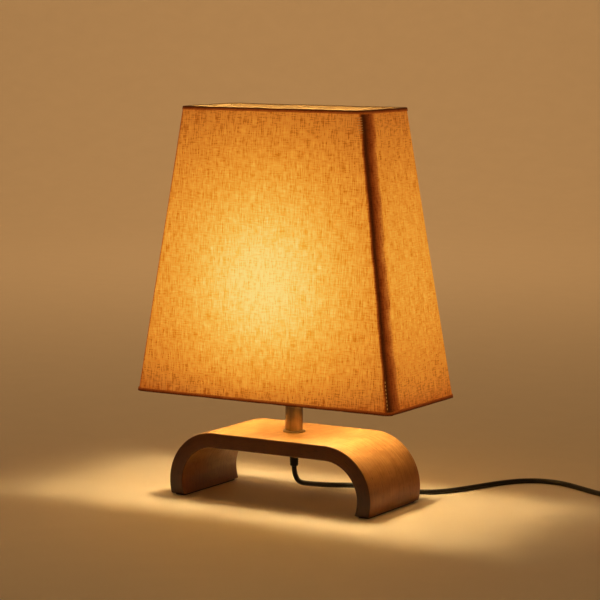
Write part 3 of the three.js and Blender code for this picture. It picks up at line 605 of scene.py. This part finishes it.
def coil_path():
    """From the switch in to the coil, inwards in three turns on the floor, up at the middle,
    outwards in three turns on top, and off to the plug. Radius and height are functions of the
    angle turned."""
    low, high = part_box("cord_coil")
    centre = np.array([(low[0] + high[0]) / 2, (low[1] + high[1]) / 2])
    outer = (high[0] - low[0]) / 2 - CORD / 2
    inner = outer - 3 * CORD
    start = math.pi / 2 + SWITCH_HEADING
    down, climb, up = 6 * math.pi, math.pi / 2, 2 * math.pi * (2 + 11 / 12)
    turned_by = np.linspace(0, down + climb + up, 300)
    radius = np.interp(turned_by, [0, down, down + climb, down + climb + up],
                       [outer, inner, inner, outer])
    height = CORD / 2 + CORD * blended(down, down + climb, turned_by)
    angle = start - turned_by
    spiral = np.stack([centre[0] + radius * np.cos(angle), centre[1] + radius * np.sin(angle),
                       height], axis=1)
    t = np.linspace(0, 1, 24, endpoint=False)
    leave = np.array(on_switch_run(SWITCH_LENGTH + 0.3, 7.8)) * MM
    run_in = (1 - t)[:, None] * leave + t[:, None] * spiral[0]
    run_in[:, 2] = leave[2] + (spiral[0][2] - leave[2]) * blended(0.1, 1, t)
    plug_low, plug_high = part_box("plug_body")
    arrive = np.array([(plug_low[0] + plug_high[0]) / 2, plug_high[1] + 0.3 * MM,
                       (plug_low[2] + plug_high[2]) / 2])
    t = np.linspace(0, 1, 25)[1:]
    run_out = (1 - t)[:, None] * spiral[-1] + t[:, None] * arrive
    return even(np.vstack([run_in, spiral, run_out]), 2.5 * MM)


plug_side_path = coil_path()
plug_side = show("plug_side_cord", mesh_of("plug_side_cord", tube(plug_side_path, CORD / 2)),
                 pvc, "black_pvc", "base", "cord_switch_to_coil", "cord_coil", "cord_plug_tail")


def coil_tie(at_angle):
    """A flat band round the coil's turns: a rounded rectangle section, in the upright plane
    through the coil's axis, carried 12 mm along the turns."""
    low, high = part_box("cord_coil")
    centre = np.array([(low[0] + high[0]) / 2, (low[1] + high[1]) / 2])
    outer = (high[0] - low[0]) / 2
    middle_radius = outer - 2 * CORD
    band = 0.9 * MM
    stand, out = panels_round((8, 4), 8)
    loops = []
    for inset, shift in ((0, -6), (0, 6), (band, 6), (band, -6)):
        corner = 2.8 * MM - inset
        ring = stand * [2 * CORD + band - 2.8 * MM, CORD + 0.55 * band - 2.8 * MM] + out * corner
        loops.append(np.column_stack([middle_radius + ring[:, 0], np.full(len(ring), shift * MM),
                                      CORD + 0.4 * band + ring[:, 1]]))
    return placed(np.stack(loops), *centre, at_angle)


tie = show("cord_tie", mesh_of("cord_tie", coil_tie(math.radians(200)), wrap_rows=True),
           nylon_tape, "black_pvc", "base")

# ------------------------------------------------------------------ foot

THICKNESS = 15.3 * MM
OUTER_BEND = 53 * MM
ROUNDING = 1.3 * MM
ROD_HOLE = 5.6 * MM


def bent_plank():
    """A plank with softened edges: its section, given as (depth, across) offsets from the middle
    of the plank, follows a straight top and two bends that go on a little past upright. Each line
    of a bend ends where it meets the floor plane."""
    middle = OUTER_BEND - THICKNESS / 2
    bend_x = foot_high[0] - OUTER_BEND
    bend_z = foot_high[2] - OUTER_BEND
    drop = bend_z - foot_low[2]
    half = (foot_high[1] - foot_low[1]) / 2
    corners = np.array([[-1, -1], [1, -1], [1, 1], [-1, 1]]) * [THICKNESS / 2, half]
    section = rounded(corners, ROUNDING, 6)
    across = np.linspace(-half + ROUNDING, half - ROUNDING, 14)[1:-1]
    top = np.column_stack([np.full(12, THICKNESS / 2), across])
    under = np.column_stack([np.full(12, -THICKNESS / 2), across[::-1]])
    section = np.vstack([section[:14], top, section[14:], under])
    depth, width = section.T

    steps = np.linspace(0, 1, 72)[:, None]
    shrink = np.array([1 - 0.9 * MM / THICKNESS, 1 - 0.25 * MM / THICKNESS, 1])[:, None]
    lift = np.array([0, 0.25, 0.9])[:, None] * MM
    first = np.arcsin((drop - lift) / (middle + depth * shrink))
    angle = np.vstack([-first, (1 - steps[1:]) * -first[-1] + steps[1:] * np.pi / 2])
    depth_rows = np.vstack([depth * shrink, np.repeat(depth[None], 71, axis=0)])
    width_rows = np.vstack([width * (1 - (1 - shrink) * 0.3), np.repeat(width[None], 71, axis=0)])
    right_x = bend_x + (middle + depth_rows) * np.cos(angle)
    right_z = bend_z + (middle + depth_rows) * np.sin(angle)
    right_s = bend_x + middle * (np.pi / 2 - angle)
    straight_x = np.repeat(np.linspace(bend_x, -bend_x, 50)[1:-1, None], len(depth), axis=1)
    x = np.vstack([right_x, straight_x, -right_x[::-1]])
    z = np.vstack([right_z, np.repeat(foot_high[2] - THICKNESS / 2 + depth[None], 48, axis=0),
                   right_z[::-1]])
    s = np.vstack([right_s, straight_x, -right_s[::-1]])
    y = np.vstack([width_rows, np.repeat(width[None], 48, axis=0), width_rows[::-1]])
    d = np.vstack([depth_rows, np.repeat(depth[None], 48, axis=0), depth_rows[::-1]])
    points = np.stack([x, y, z], axis=2)
    grain = np.stack([s, y, d], axis=2)
    ends = [points[k].mean(0)[None, None] + 0 * points[:1] for k in (0, -1)]
    grain_ends = [grain[k].mean(0)[None, None] + 0 * grain[:1] for k in (0, -1)]
    return (np.concatenate([ends[0], points, ends[1]]),
            np.concatenate([grain_ends[0], grain, grain_ends[1]]))


foot_points, foot_grain = bent_plank()
foot_mesh = mesh_of("wooden_foot", foot_points, smooth=50, grain=foot_grain)
rod_hole = tube(np.array([[0, 0, 40 * MM], [0, 0, 90 * MM]]), ROD_HOLE, 48)
foot_mesh = without(foot_mesh, mesh_of("rod_hole", rod_hole))
show("wooden_foot", foot_mesh, beech, "wood", "base", "bridge_foot")

for side in ("left", "right"):
    low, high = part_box(f"foot_pad_{side}")
    half_x, half_y = (high[0] - low[0]) / 2, (high[1] - low[1]) / 2
    edge = 0.35 * MM
    profile = [(edge, 0), (0, edge), (0, high[2] - edge), (edge, high[2])]
    pad = placed(plate(half_x, half_y, 2 * MM, profile), (low[0] + high[0]) / 2, 0)
    show(f"felt_pad_{side}", mesh_of("felt_pad", pad), felt, "felt", "base", f"foot_pad_{side}")

# ------------------------------------------------------------------ stem and rod

stem_low, stem_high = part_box("stem_tube")


def ring_piece(name, node_name, profile, rounding, finish_of, slot, body, steps=96):
    """A piece turned from a closed profile of (radius, height) in millimetres, with its corners
    rounded. Heights are counted from the bottom of the CAD node that it stands for."""
    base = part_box(node_name)[0][2]
    line = rounded(np.array(profile, float) * MM + [0, base], rounding * MM)
    mesh = mesh_of(name, turned(line, steps), wrap_rows=True)
    return show(name, mesh, finish_of, slot, body, node_name)


stem_length = (stem_high[2] - stem_low[2]) / MM
ring_piece("stem", "stem_tube", [
    (8, 0), (9, 0), (9, stem_length), (8, stem_length),
], 0.3, satin_nickel, "satin_metal", "base", steps=128)
ring_piece("flange", "flange_ring", [
    (5.6, 0), (11.5, 0), (11.5, 1.2), (11, 1.5), (5.6, 1.5),
], 0.35, satin_nickel, "satin_metal", "base", steps=128)
ring_piece("stem_top_disc", "stem_centring_disc", [
    (5.3, 0), (7.7, 0), (7.7, 3), (9, 3), (9, 5), (5.3, 5),
], 0.3, satin_nickel, "satin_metal", "base")
ring_piece("nut_washer", "washer", [
    (5.3, 0), (12, 0), (12, 1.5), (5.3, 1.5),
], 0.25, zinc_steel, "steel", "base")


def threaded(radius, depth, pitch, low, high, bore, steps=64):
    """A tube whose outside is a screw thread: its radius falls and rises by depth with height
    and angle together, so the crest climbs one pitch in each turn."""
    height = np.linspace(low, high, int(round((high - low) / pitch * 8)) + 1)
    angle = np.linspace(0, 2 * np.pi, steps, endpoint=False)
    wave = 0.5 + 0.5 * np.cos(2 * np.pi * height[:, None] / pitch - angle[None])
    fade = blended(low, low + pitch, height) * (1 - blended(high - pitch, high, height))
    outside = radius - depth * (1 - wave * fade[:, None])
    radii = np.vstack([outside, np.full((1, steps), bore), np.full((1, steps), bore)])
    heights = np.concatenate([height, [high, low]])
    return np.stack([radii * np.cos(angle), radii * np.sin(angle),
                     np.repeat(heights[:, None], steps, axis=1)], axis=2)


rod_low, rod_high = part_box("threaded_rod")
rod = threaded(5 * MM, 0.45 * MM, 1 * MM, rod_low[2], rod_high[2], 3.8 * MM)
show("rod", mesh_of("rod", rod, wrap_rows=True, smooth=60), zinc_steel, "steel", "base",
     "threaded_rod")


def hexagon_nut(across_flats, low, high, hole, chamfer):
    """A hexagon whose corners are turned down at both faces: the radius is the smaller of the
    hexagon's and a cone's."""
    angle = np.linspace(0, 2 * np.pi, 96, endpoint=False)
    from_flat = (angle % (np.pi / 3)) - np.pi / 6
    hexagon = across_flats / 2 / np.cos(from_flat)
    rows = [(low, 0), (low, 1), (low + chamfer, 2), (high - chamfer, 2), (high, 1), (high, 0)]
    radii = {0: np.full(96, hole), 1: np.minimum(hexagon, across_flats / 2 * 1.01), 2: hexagon}
    grid = [np.stack([radii[k] * np.cos(angle), radii[k] * np.sin(angle), np.full(96, z)], axis=1)
            for z, k in rows]
    return np.stack(grid)


nut_low, nut_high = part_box("lock_nut")
nut = hexagon_nut(14 * MM, nut_low[2], nut_high[2], 5.3 * MM, 0.7 * MM)
show("nut", mesh_of("nut", nut, wrap_rows=True, smooth=25), brass, "brass", "base", "lock_nut")


def ribbed_sleeve():
    """A tapering sleeve with five soft rings, so that it bends with the cord, a spigot up into
    the rod and a bore for the cord. Heights are in millimetres from its bottom."""
    height = np.linspace(0.8, 11.6, 61)
    rib = 0.5 - 0.5 * np.cos((height - 0.8) / 10.8 * 2 * np.pi * 5)
    radius = np.interp(height, [0.8, 11.6], [4.05, 4.45]) + 0.25 * rib
    profile = np.vstack([
        [[2.9, 0], [3.6, 0], [4.0, 0.4]], np.column_stack([radius, height]),
        [[4.5, 12.0], [4.3, 12.2], [3.4, 12.2], [3.4, 22.0], [3.2, 22.2], [2.9, 22.2]],
    ])
    return turned(profile * MM + [0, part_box("strain_relief")[0][2]], 48)


show("cord_sleeve", mesh_of("cord_sleeve", ribbed_sleeve(), wrap_rows=True, smooth=60),
     pvc, "black_pvc", "base", "strain_relief")

# ------------------------------------------------------------------ lampholder


def gripped(profile, ribs, depth, low, high, steps=192):
    """A turned profile whose radius dips by depth between ribs, on the band from low to high."""
    grid = turned(profile, steps)
    angle = np.linspace(0, 2 * np.pi, steps, endpoint=False)
    dip = depth * (0.5 - 0.5 * np.cos(ribs * angle)) ** 2
    height = grid[:, :, 2]
    on_band = blended(low, low + 1 * MM, height) * (1 - blended(high - 1 * MM, high, height))
    radius = np.linalg.norm(grid[:, :, :2], axis=2)
    outside = radius > radius.max() - 1.2 * MM
    share = 1 - np.where(outside, on_band * dip[None], 0) / np.maximum(radius, 1e-6)
    grid[:, :, :2] *= share[:, :, None]
    return grid


def cut_finer(profile, step):
    """The closed profile with extra points no further apart than step, rounding errors aside."""
    closed = np.vstack([profile, profile[:1]])
    parts = []
    for start, end in zip(closed, closed[1:]):
        count = max(1, math.ceil(np.linalg.norm(end - start) / step - 1e-6))
        t = np.linspace(0, 1, count, endpoint=False)[:, None]
        parts.append((1 - t) * start + t * end)
    return np.vstack(parts)


cap_base = [0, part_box("holder_cap")[0][2]]
cap_profile = cut_finer(rounded(np.array([
    (5.3, 0), (9, 0), (9.5, 4), (16.5, 7), (19.6, 11), (19.6, 20), (17.6, 20), (17.6, 12),
    (15, 9), (5.3, 7),
]) * MM + cap_base, 1.0 * MM), 1.0 * MM)
cap_mesh = mesh_of("holder_top", gripped(
    cap_profile, 30, 0.5 * MM, cap_base[1] + 11.3 * MM, cap_base[1] + 18.9 * MM), wrap_rows=True)
grub_height = cap_base[1] + 2 * MM
grub_hole = tube(np.array([[4 * MM, 0, grub_height], [20 * MM, 0, grub_height]]), 1.5 * MM, 24)
show("holder_top", without(cap_mesh, mesh_of("grub_hole", grub_hole)), phenolic,
     "black_plastic", "base", "holder_cap")
ring_piece("holder_shell", "holder_skirt", [
    (15.6, 0), (22.5, 0), (22.5, 3), (19.6, 3), (19.6, 24), (15, 24), (15, 9), (15.6, 9),
], 0.6, phenolic, "black_plastic", "base", steps=128)
clamp_base = [0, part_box("shade_ring")[0][2]]
clamp_profile = cut_finer(rounded(np.array([
    (20.1, 0), (28, 0), (28, 2.5), (23.6, 6), (20.1, 6),
]) * MM + clamp_base, 0.6 * MM), 0.8 * MM)
clamp = gripped(clamp_profile, 24, 0.9 * MM, clamp_base[1] - 0.7 * MM, clamp_base[1] + 3.9 * MM,
                240)
show("shade_clamp", mesh_of("shade_clamp", clamp, wrap_rows=True), phenolic, "black_plastic",
     "shade_ring", "shade_ring")

for name, material, slot in (
    ("holder_core", steatite, "ceramic"),
    ("centre_contact", brass, "brass"),
    ("side_contact", brass, "brass"),
):
    show(name + "_piece", merged_copy(name), material, slot, "base", name)

# ------------------------------------------------------------------ bulb

BULB_CENTRE = np.array([0, 0, 223.3 * MM])
globe_low, globe_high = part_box("bulb_glass")
cap_low, cap_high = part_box("bulb_cap")


def globe_profile(inset):
    """Half outline of the glass: a straight neck, a curve that leaves it upright and meets the
    globe along its tangent, then the globe's circle up to the axis."""
    radius = globe_high[0] - inset
    neck = cap_high[0] - inset
    end = -0.6
    meet = np.array([radius * math.cos(end), BULB_CENTRE[2] + radius * math.sin(end)])
    reach = 16 * MM
    a = np.array([neck, globe_low[2]])
    b = a + [0, reach]
    c = meet + reach * np.array([math.sin(end), -math.cos(end)])
    t = np.linspace(0, 1, 20, endpoint=False)[:, None]
    swell = (1 - t)**3 * a + 3 * (1 - t)**2 * t * b + 3 * (1 - t) * t**2 * c + t**3 * meet
    angle = np.linspace(end, np.pi / 2, 40)
    globe = np.column_stack([radius * np.cos(angle), BULB_CENTRE[2] + radius * np.sin(angle)])
    return np.vstack([swell, globe])


glass = turned(np.vstack([globe_profile(0), globe_profile(0.9 * MM)[::-1]]), 80)
show("bulb_globe", mesh_of("bulb_globe", glass, wrap_rows=True), opal_glass, "opal_glass",
     "bulb", "bulb_glass")
cap_thread = threaded(13.2 * MM, 0.9 * MM, 3.6 * MM, cap_low[2], cap_high[2], 11.9 * MM, 96)
show("bulb_screw_cap", mesh_of("bulb_screw_cap", cap_thread, wrap_rows=True, smooth=60),
     aluminium, "aluminium", "bulb", "bulb_cap")
for name, material, slot in (
    ("bulb_insulator", phenolic, "black_plastic"),
    ("bulb_contact", brass, "brass"),
    ("bulb_mount", clear_glass, "clear_glass"),
    ("bulb_filament_left", phosphor, "phosphor"),
    ("bulb_filament_right", phosphor, "phosphor"),
):
    show(name + "_piece", merged_copy(name), material, slot, "bulb", name)

# ------------------------------------------------------------------ shade

hem_low, hem_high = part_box("bottom_hem")
top_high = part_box("top_hem")[1]
fabric_low, fabric_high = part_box("shade_fabric")
SHADE_BOTTOM = np.array([hem_high[0], hem_high[1], hem_low[2]])
SHADE_TOP = np.array([107.4 * MM, 47 * MM, top_high[2]])
CORNER = 8.5 * MM
QUARTER = CORNER * np.pi / 2
SEAM = 19 * MM


def shade_half_sizes(height):
    """Half length and half width of the shade's outside at a height."""
    share = (height - SHADE_BOTTOM[2]) / (SHADE_TOP[2] - SHADE_BOTTOM[2])
    return np.stack([SHADE_BOTTOM[k] + (SHADE_TOP[k] - SHADE_BOTTOM[k]) * share
                     for k in (0, 1)], axis=-1)


SIDE_STEPS, FRONT_STEPS, CORNER_STEPS = 40, 64, 10
around, outward = panels_round((SIDE_STEPS, FRONT_STEPS), CORNER_STEPS)
columns = len(around)


def round_shade(offset, height):
    """Points round the shade at some offset outwards and height; both may vary along a row."""
    offset, height = np.broadcast_arrays(offset, height)
    level = shade_half_sizes(height) - CORNER
    flat = around * level + outward * (CORNER + offset)[..., None]
    return np.concatenate([flat, height[..., None]], axis=-1)


def along_panels(height):
    """How far each column and each crease lies round the shade from the crease at the front
    right corner, for each height. A crease is the middle of a corner."""
    half = shade_half_sizes(height) - CORNER
    distance, creases = [], [0 * height]
    for side in range(4):
        span = 2 * half[:, 1 - side % 2]
        count = (SIDE_STEPS, FRONT_STEPS)[side % 2]
        start = creases[-1] + QUARTER / 2
        distance.append(start[:, None] + np.outer(span, np.arange(count) / count))
        bend = np.arange(CORNER_STEPS) / CORNER_STEPS * QUARTER
        distance.append((start + span)[:, None] + bend)
        creases.append(start + span + QUARTER / 2)
    return np.concatenate(distance, axis=1), np.stack(creases, axis=1)


def face_corners(distance, perimeter, height, shift=0):
    """The distance, plus its column's shift, and the height of each face's four corners."""
    left = distance + shift
    right = np.concatenate([distance[:, 1:], distance[:, :1] + perimeter], axis=1) + shift
    height = height + 0 * distance
    up = np.roll(np.arange(len(distance)), -1)
    corners = [(left, height), (right, height), (right[up], height[up]), (left[up], height[up])]
    return np.stack([np.stack(pair, axis=2) for pair in corners], axis=2)


def light_through(points):
    """Light that reaches the cloth, as a share of the brightest place: it falls with the square
    of the distance from the bulb, softened by the light scattered inside the shade, and the
    rolled hems shade the cloth beside them."""
    nearest = 60 * MM
    softness = 104 * MM
    distance = np.linalg.norm(points - BULB_CENTRE, axis=-1)
    share = 1 / (1 + np.maximum(distance**2 - nearest**2, -0.5 * nearest**2) / softness**2)
    height = points[..., 2]
    return (
        share**0.88
        * (1 - 0.6 * np.exp(-(height - SHADE_BOTTOM[2]) / (22 * MM)))
        * (1 - 0.25 * np.exp(-(SHADE_TOP[2] - height) / (30 * MM)))
    )


def cloth_surface():
    """The cloth's outer face by rows up and its inner face by rows down, pulled tight, with
    faint ripples (sines of the distance round and up) and a second layer over the seam. Gives
    its points, and the distances of its columns and creases."""
    height = np.linspace(fabric_low[2], fabric_high[2], 84)
    distance, creases = along_panels(height)
    up = (height[:, None] - height[0]) / (height[-1] - height[0])
    ripple = 0.22 * MM * np.sin(distance / (21 * MM) + 3 * up) * np.sin(np.pi * up)
    ripple = ripple + 0.16 * MM * np.sin(distance / (9 * MM) + 9 * up)
    overlap = 0.55 * MM * (1 - blended(SEAM, SEAM + 1.2 * MM, distance))
    overlap = overlap * blended(0, 2 * MM, distance)
    outer = round_shade(-0.9 * MM + 0.5 * ripple + overlap, height[:, None])
    inner = round_shade(-1.7 * MM + 0.5 * ripple, height[:, None])
    return (np.concatenate([outer, inner[::-1]]), np.concatenate([distance, distance[::-1]]),
            np.concatenate([creases, creases[::-1]]))


cloth_points, cloth_distance, creases = cloth_surface()
perimeter = creases[:, -1:]
cloth_light = light_through(cloth_points)

# The upright wire behind each corner takes away a narrow line of light.
from_wire = np.min(np.abs(cloth_distance[:, :, None] - creases[:, None, :]), axis=2)
cloth_light = cloth_light * (1 - 0.7 * np.exp(-(from_wire / (2.4 * MM)) ** 2))

# Two more layers over the seam let little light through, and least where they fold at the crease.
from_crease = cloth_distance - np.where(cloth_distance > perimeter - 40 * MM, perimeter, 0)
seam_wave = 0.5 * MM * np.sin(cloth_points[:, :, 2] / (13 * MM))
seam_wave = seam_wave + 0.4 * MM * np.sin(cloth_points[:, :, 2] / (5.1 * MM))
from_crease = from_crease + np.where(from_crease > 8 * MM, 2 * seam_wave, 0.6 * seam_wave)
seam_light = np.interp(from_crease / MM, [-4, -2, 0.6, 4, 8, 12, 15, 18, 20.5],
                       [1, 0.22, 0.03, 0.12, 0.26, 0.36, 0.48, 0.76, 1])

# u counts metres from the middle of each panel, plus a metre for each panel so that no two carry
# the same yarns; v counts metres up the cloth, whose lean adds 0.6 percent to its height.
panel = np.repeat(np.arange(5), [
    SIDE_STEPS + CORNER_STEPS // 2, FRONT_STEPS + CORNER_STEPS, SIDE_STEPS + CORNER_STEPS,
    FRONT_STEPS + CORNER_STEPS, CORNER_STEPS // 2])
middles = (creases[:, :-1] + creases[:, 1:]) / 2
middles = np.concatenate([middles, perimeter + middles[:, :1]], axis=1)
cloth_uv = face_corners(cloth_distance, perimeter, cloth_points[:, :1, 2] * 1.006,
                        panel - middles[:, panel])

# Over the seam the cloth's colour is darkened as well: a painted shade of the folded layers.
cloth_mesh = mesh_of(
    "shade_cloth", cloth_points, wrap_rows=True, smooth=60, uv=cloth_uv,
    glow=cloth_light * seam_light, open_side=0.12 + 0.88 * seam_light,
    outside=np.repeat([[1.0], [0.0]], len(cloth_points) // 2, axis=0) + 0 * cloth_distance)
cloth = show("shade_cloth", cloth_mesh, linen, "linen", "shade", "shade_fabric")


def stitches():
    """Short thick threads on the cloth: a row down the crease at its lower end, and a few that
    cross it near the top. Each is a straight tube with pointed ends, laid round the corner
    between two angles."""
    grids = []
    for height, first, last, reach in (
        *((SHADE_BOTTOM[2] + (7 + 3.6 * k) * MM, -50, -50, 1.1 * MM) for k in range(8)),
        *((SHADE_TOP[2] - (7 + 2.4 * k) * MM, -84, -50, 0.15 * MM) for k in range(7)),
    ):
        z = np.linspace(height - reach, height + reach, 9)
        turn = np.radians(np.linspace(first, last, 9))
        level = shade_half_sizes(z) - CORNER
        out = CORNER - 0.2 * MM
        path = np.stack([level[:, 0] + out * np.cos(turn), -level[:, 1] + out * np.sin(turn), z],
                        axis=1)
        t = np.linspace(-1, 1, 9)
        grids.append(tube(path, 0.4 * MM * np.sqrt(1 - 0.8 * t**2), 10))
    return grids


show("seam_stitches", mesh_of("seam_stitches", *stitches()), thread, "linen", "shade")


def hem(profile, rim, name, stands_for):
    """A hem: its rolled section of (offset, height above the rim) points in millimetres, carried
    round the shade, with the slight wave that the rolled cloth takes between its stitches."""
    section = rounded(np.array(profile, float) * MM + [0, rim], 0.9 * MM, 4)
    offset, height = section[:, :1], section[:, 1:]
    distance, creases = along_panels(section[:, 1])
    outside = blended(-3 * MM, 0, offset)
    wave = 0.28 * MM * np.sin(distance / (6.3 * MM)) + 0.2 * MM * np.sin(distance / (14.1 * MM))
    points = round_shade(offset + outside * (0.8 * wave - 0.3 * MM), height + 0.5 * wave)
    low, high = SHADE_BOTTOM[2], SHADE_TOP[2]
    points[:, :, 2] = np.clip(points[:, :, 2], low, high)
    edge = np.minimum(points[:, :, 2] - low, high - points[:, :, 2])
    light = light_through(points) * (0.07 + 0.7 * blended(1.6 * MM, 3.6 * MM, edge))
    # The hem's colour is darkened to three quarters: a painted shade of its rolled layers.
    mesh = mesh_of(
        name, points, wrap_rows=True, smooth=60, glow=light, open_side=0.75 + 0 * light,
        uv=face_corners(distance, creases[:, -1:], height),
        outside=np.where(offset < -3.2 * MM, 0.0, 1.0) + 0 * distance)
    return show(name, mesh, hem_linen, "hem_linen", "shade", stands_for)


bottom_hem = hem([
    (-5.9, 0), (0, 0), (0, 3.6), (-0.6, 3.6), (-0.6, 0.6), (-5.3, 0.6), (-5.3, 4.2), (-5.9, 4.2),
], SHADE_BOTTOM[2], "bottom_hem_roll", "bottom_hem")
top_hem = hem([
    (-5.9, -4.2), (-5.3, -4.2), (-5.3, -0.6), (-0.6, -0.6), (-0.6, -3.6), (0, -3.6), (0, 0),
    (-5.9, 0),
], SHADE_TOP[2], "top_hem_roll", "top_hem")

WIRE_INSET = 3.5 * MM
WIRE = 3 * MM
UPRIGHT = 2.5 * MM

for name, node_name in (("bottom_frame", "bottom_wire"), ("top_frame", "top_wire")):
    # A round wire, carried round inside the shade at one height.
    low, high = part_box(node_name)
    angle = np.linspace(0, 2 * np.pi, 12, endpoint=False)[:, None] + np.zeros((1, columns))
    ring = round_shade(-WIRE_INSET + WIRE / 2 * np.cos(angle),
                       (low[2] + high[2]) / 2 + WIRE / 2 * np.sin(angle))
    show(name, mesh_of(name, ring, wrap_rows=True), coated_wire, "frame_wire", "shade", node_name)

for end, end_name in ((-1, "left"), (1, "right")):
    for side, side_name in ((-1, "front"), (1, "back")):
        node_name = f"upright_{side_name}_{end_name}"
        low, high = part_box(node_name)
        inset = CORNER - (CORNER - WIRE_INSET) * math.sqrt(0.5)
        foot_half, head_half = shade_half_sizes(np.array([low[2], high[2]])) - inset
        path = even(np.array([
            [end * foot_half[0], side * foot_half[1], low[2]],
            [end * head_half[0], side * head_half[1], high[2]],
        ]), 20 * MM)
        show(f"frame_{node_name}", mesh_of(node_name, tube(path, UPRIGHT / 2, 12)), coated_wire,
             "frame_wire", "shade", node_name)

ring_piece("fitter_washer", "fitter_ring", [
    (20.5, 0), (29, 0), (29, 1.5), (20.5, 1.5),
], 0.4, coated_wire, "frame_wire", "shade")

for arm, unit in (("left", [-1, 0]), ("right", [1, 0]), ("front", [0, -1]), ("back", [0, 1])):
    low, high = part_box(f"fitter_arm_{arm}")
    far = max(np.max(low[:2] * np.array(unit)), np.max(high[:2] * np.array(unit)))
    path = even(np.array([
        [*(np.array(unit) * (far - 0.4 * MM)), low[2] + WIRE / 2],
        [*(np.array(unit) * 30.7 * MM), high[2] - 1.45 * MM],
    ]), 8 * MM)
    show(f"frame_arm_{arm}", mesh_of(arm, tube(path, WIRE / 2, 14)), coated_wire,
         "frame_wire", "shade", f"fitter_arm_{arm}")

seam = show("seam_tape", merged_copy("seam_strip"), hem_linen, "hem_linen", "shade",
            "seam_strip")

# ------------------------------------------------------------------ switch and plug

for name, material, slot, body in (
    ("switch_upper_shell", abs_plastic, "black_plastic", "base"),
    ("switch_lower_shell", abs_plastic, "black_plastic", "base"),
    ("switch_rocker", phenolic, "black_plastic", "rocker"),
    ("switch_screw_1", zinc_steel, "steel", "base"),
    ("switch_screw_2", zinc_steel, "steel", "base"),
):
    show(name + "_piece", merged_copy(name, 32), material, slot, body, name)


def plug_shape():
    """The plug along its length: half width and half thickness grow from the ribbed sleeve to
    the square front, and the section goes from a circle to a rounded oblong."""
    low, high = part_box("plug_body")
    length = high[1] - low[1]
    along = np.linspace(0, length, 150)
    places = np.array([0, 17, 20, 27, 33, 42, 50, 54.5, 56]) * MM
    half_width = np.interp(along, places, np.array([3.5, 4.3, 5, 6, 11, 14.3, 16.0, 17.3, 16.6])
                           * MM)
    half_height = np.interp(along, places, np.array([3.5, 4.3, 4.8, 5.6, 6.5, 6.9, 6.9, 6.9, 6.2])
                            * MM)
    # A running mean of seven points softens the outline's corners.
    half_width, half_height = (np.convolve(np.pad(half, 3, mode="edge"), np.ones(7) / 7, "valid")
                               for half in (half_width, half_height))
    ribs = blended(1 * MM, 3 * MM, along) * (1 - blended(17 * MM, 19 * MM, along))
    ribs = 0.45 * MM * ribs * (0.5 - 0.5 * np.cos(along / (2.6 * MM) * 2 * np.pi))
    squareness = 2 + 2.5 * blended(20 * MM, 36 * MM, along)
    angle = np.linspace(0, 2 * np.pi, 64, endpoint=False)
    c, s = np.cos(angle)[None], np.sin(angle)[None]
    power = 2 / squareness[:, None]
    side = np.sign(c) * np.abs(c) ** power * (half_width - ribs)[:, None]
    up = np.sign(s) * np.abs(s) ** power * (half_height - ribs)[:, None]
    middle_x, middle_z = (low[0] + high[0]) / 2, (low[2] + high[2]) / 2
    grid = np.stack([middle_x + side, high[1] - along[:, None] + 0 * side, middle_z + up], axis=2)
    ends = [0 * grid[:1] + grid[k].mean(0) for k in (0, -1)]
    return np.concatenate([ends[0], grid, ends[1]])


plug = show("plug", mesh_of("plug", plug_shape(), smooth=50), abs_plastic, "black_plastic",
            "base", "plug_body")
for side in ("left", "right"):
    low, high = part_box(f"plug_pin_{side}")
    x, z = (low[0] + high[0]) / 2, (low[2] + high[2]) / 2
    path = even(np.array([[x, high[1], z], [x, low[1], z]]), 1 * MM)
    along = (high[1] - path[:, 1]) / (high[1] - low[1])
    radius = 2 * MM * np.sqrt(1 - 0.55 * blended(0.9, 1.0, along))
    show(f"plug_{side}_pin", mesh_of("pin", tube(path, radius, 24)), nickel_pin,
                     "brass", "base", f"plug_pin_{side}")

for name, material in (
    ("cord_inside_stem", pvc),
    ("holder_grub_screw", zinc_steel),
    ("terminal_screw_left", brass),
    ("terminal_screw_right", brass),
    ("switch_terminal_in", brass),
    ("switch_terminal_out", brass),
    ("switch_blade", brass),
):
    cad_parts[name].data.materials.clear()
    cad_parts[name].data.materials.append(material)

# ------------------------------------------------------------------ floor and light


def studio_floor():
    """A round pale floor that sweeps up into a wall: flat to 2.8 m, then a quarter circle."""
    bend = np.linspace(0, np.pi / 2, 16)
    radius = np.concatenate([np.linspace(0, 2.8, 12), 2.8 + 1.6 * np.sin(bend[1:]), [4.4]])
    height = np.concatenate([np.zeros(12), 1.6 - 1.6 * np.cos(bend[1:]), [3.6]])
    return turned(np.column_stack([radius, height]), 96)


floor_mesh = mesh_of("floor", studio_floor())
floor = bpy.data.objects.new("floor", floor_mesh)
bpy.context.scene.collection.objects.link(floor)
# Fibreboard, painted pale with a roller: even and nearly matt.
floor_mesh.materials.append(
    grained("painted_board", "efe6d8", "ece3d5", 40, 0.6, 0.05, 0.01))

world = bpy.data.worlds.new("studio")
bpy.context.scene.world = world
world.use_nodes = True
background = world.node_tree.nodes["Background"]
background.inputs["Color"].default_value = linear("ffd29a")
background.inputs["Strength"].default_value = 0.075

for name, size, power, place, aim in (
    ("softbox", 1.8, 8.5, (-0.6, 0.5, 2.2), (0, 0, 0.2)),
    ("backdrop_light", 1.6, 26, (-1.0, 1.7, 2.3), (-2.4, 4.0, 0.3)),
):
    light = bpy.data.lights.new(name, "AREA")
    light.shape = "DISK"
    light.size = size
    light.energy = power
    light.color = linear("ffc684")[:3]
    lamp = bpy.data.objects.new(name, light)
    bpy.context.scene.collection.objects.link(lamp)
    lamp.location = place
    lamp.rotation_euler = (Vector(aim) - Vector(place)).to_track_quat("-Z", "Y").to_euler()

bpy.context.scene.view_settings.view_transform = "Standard"
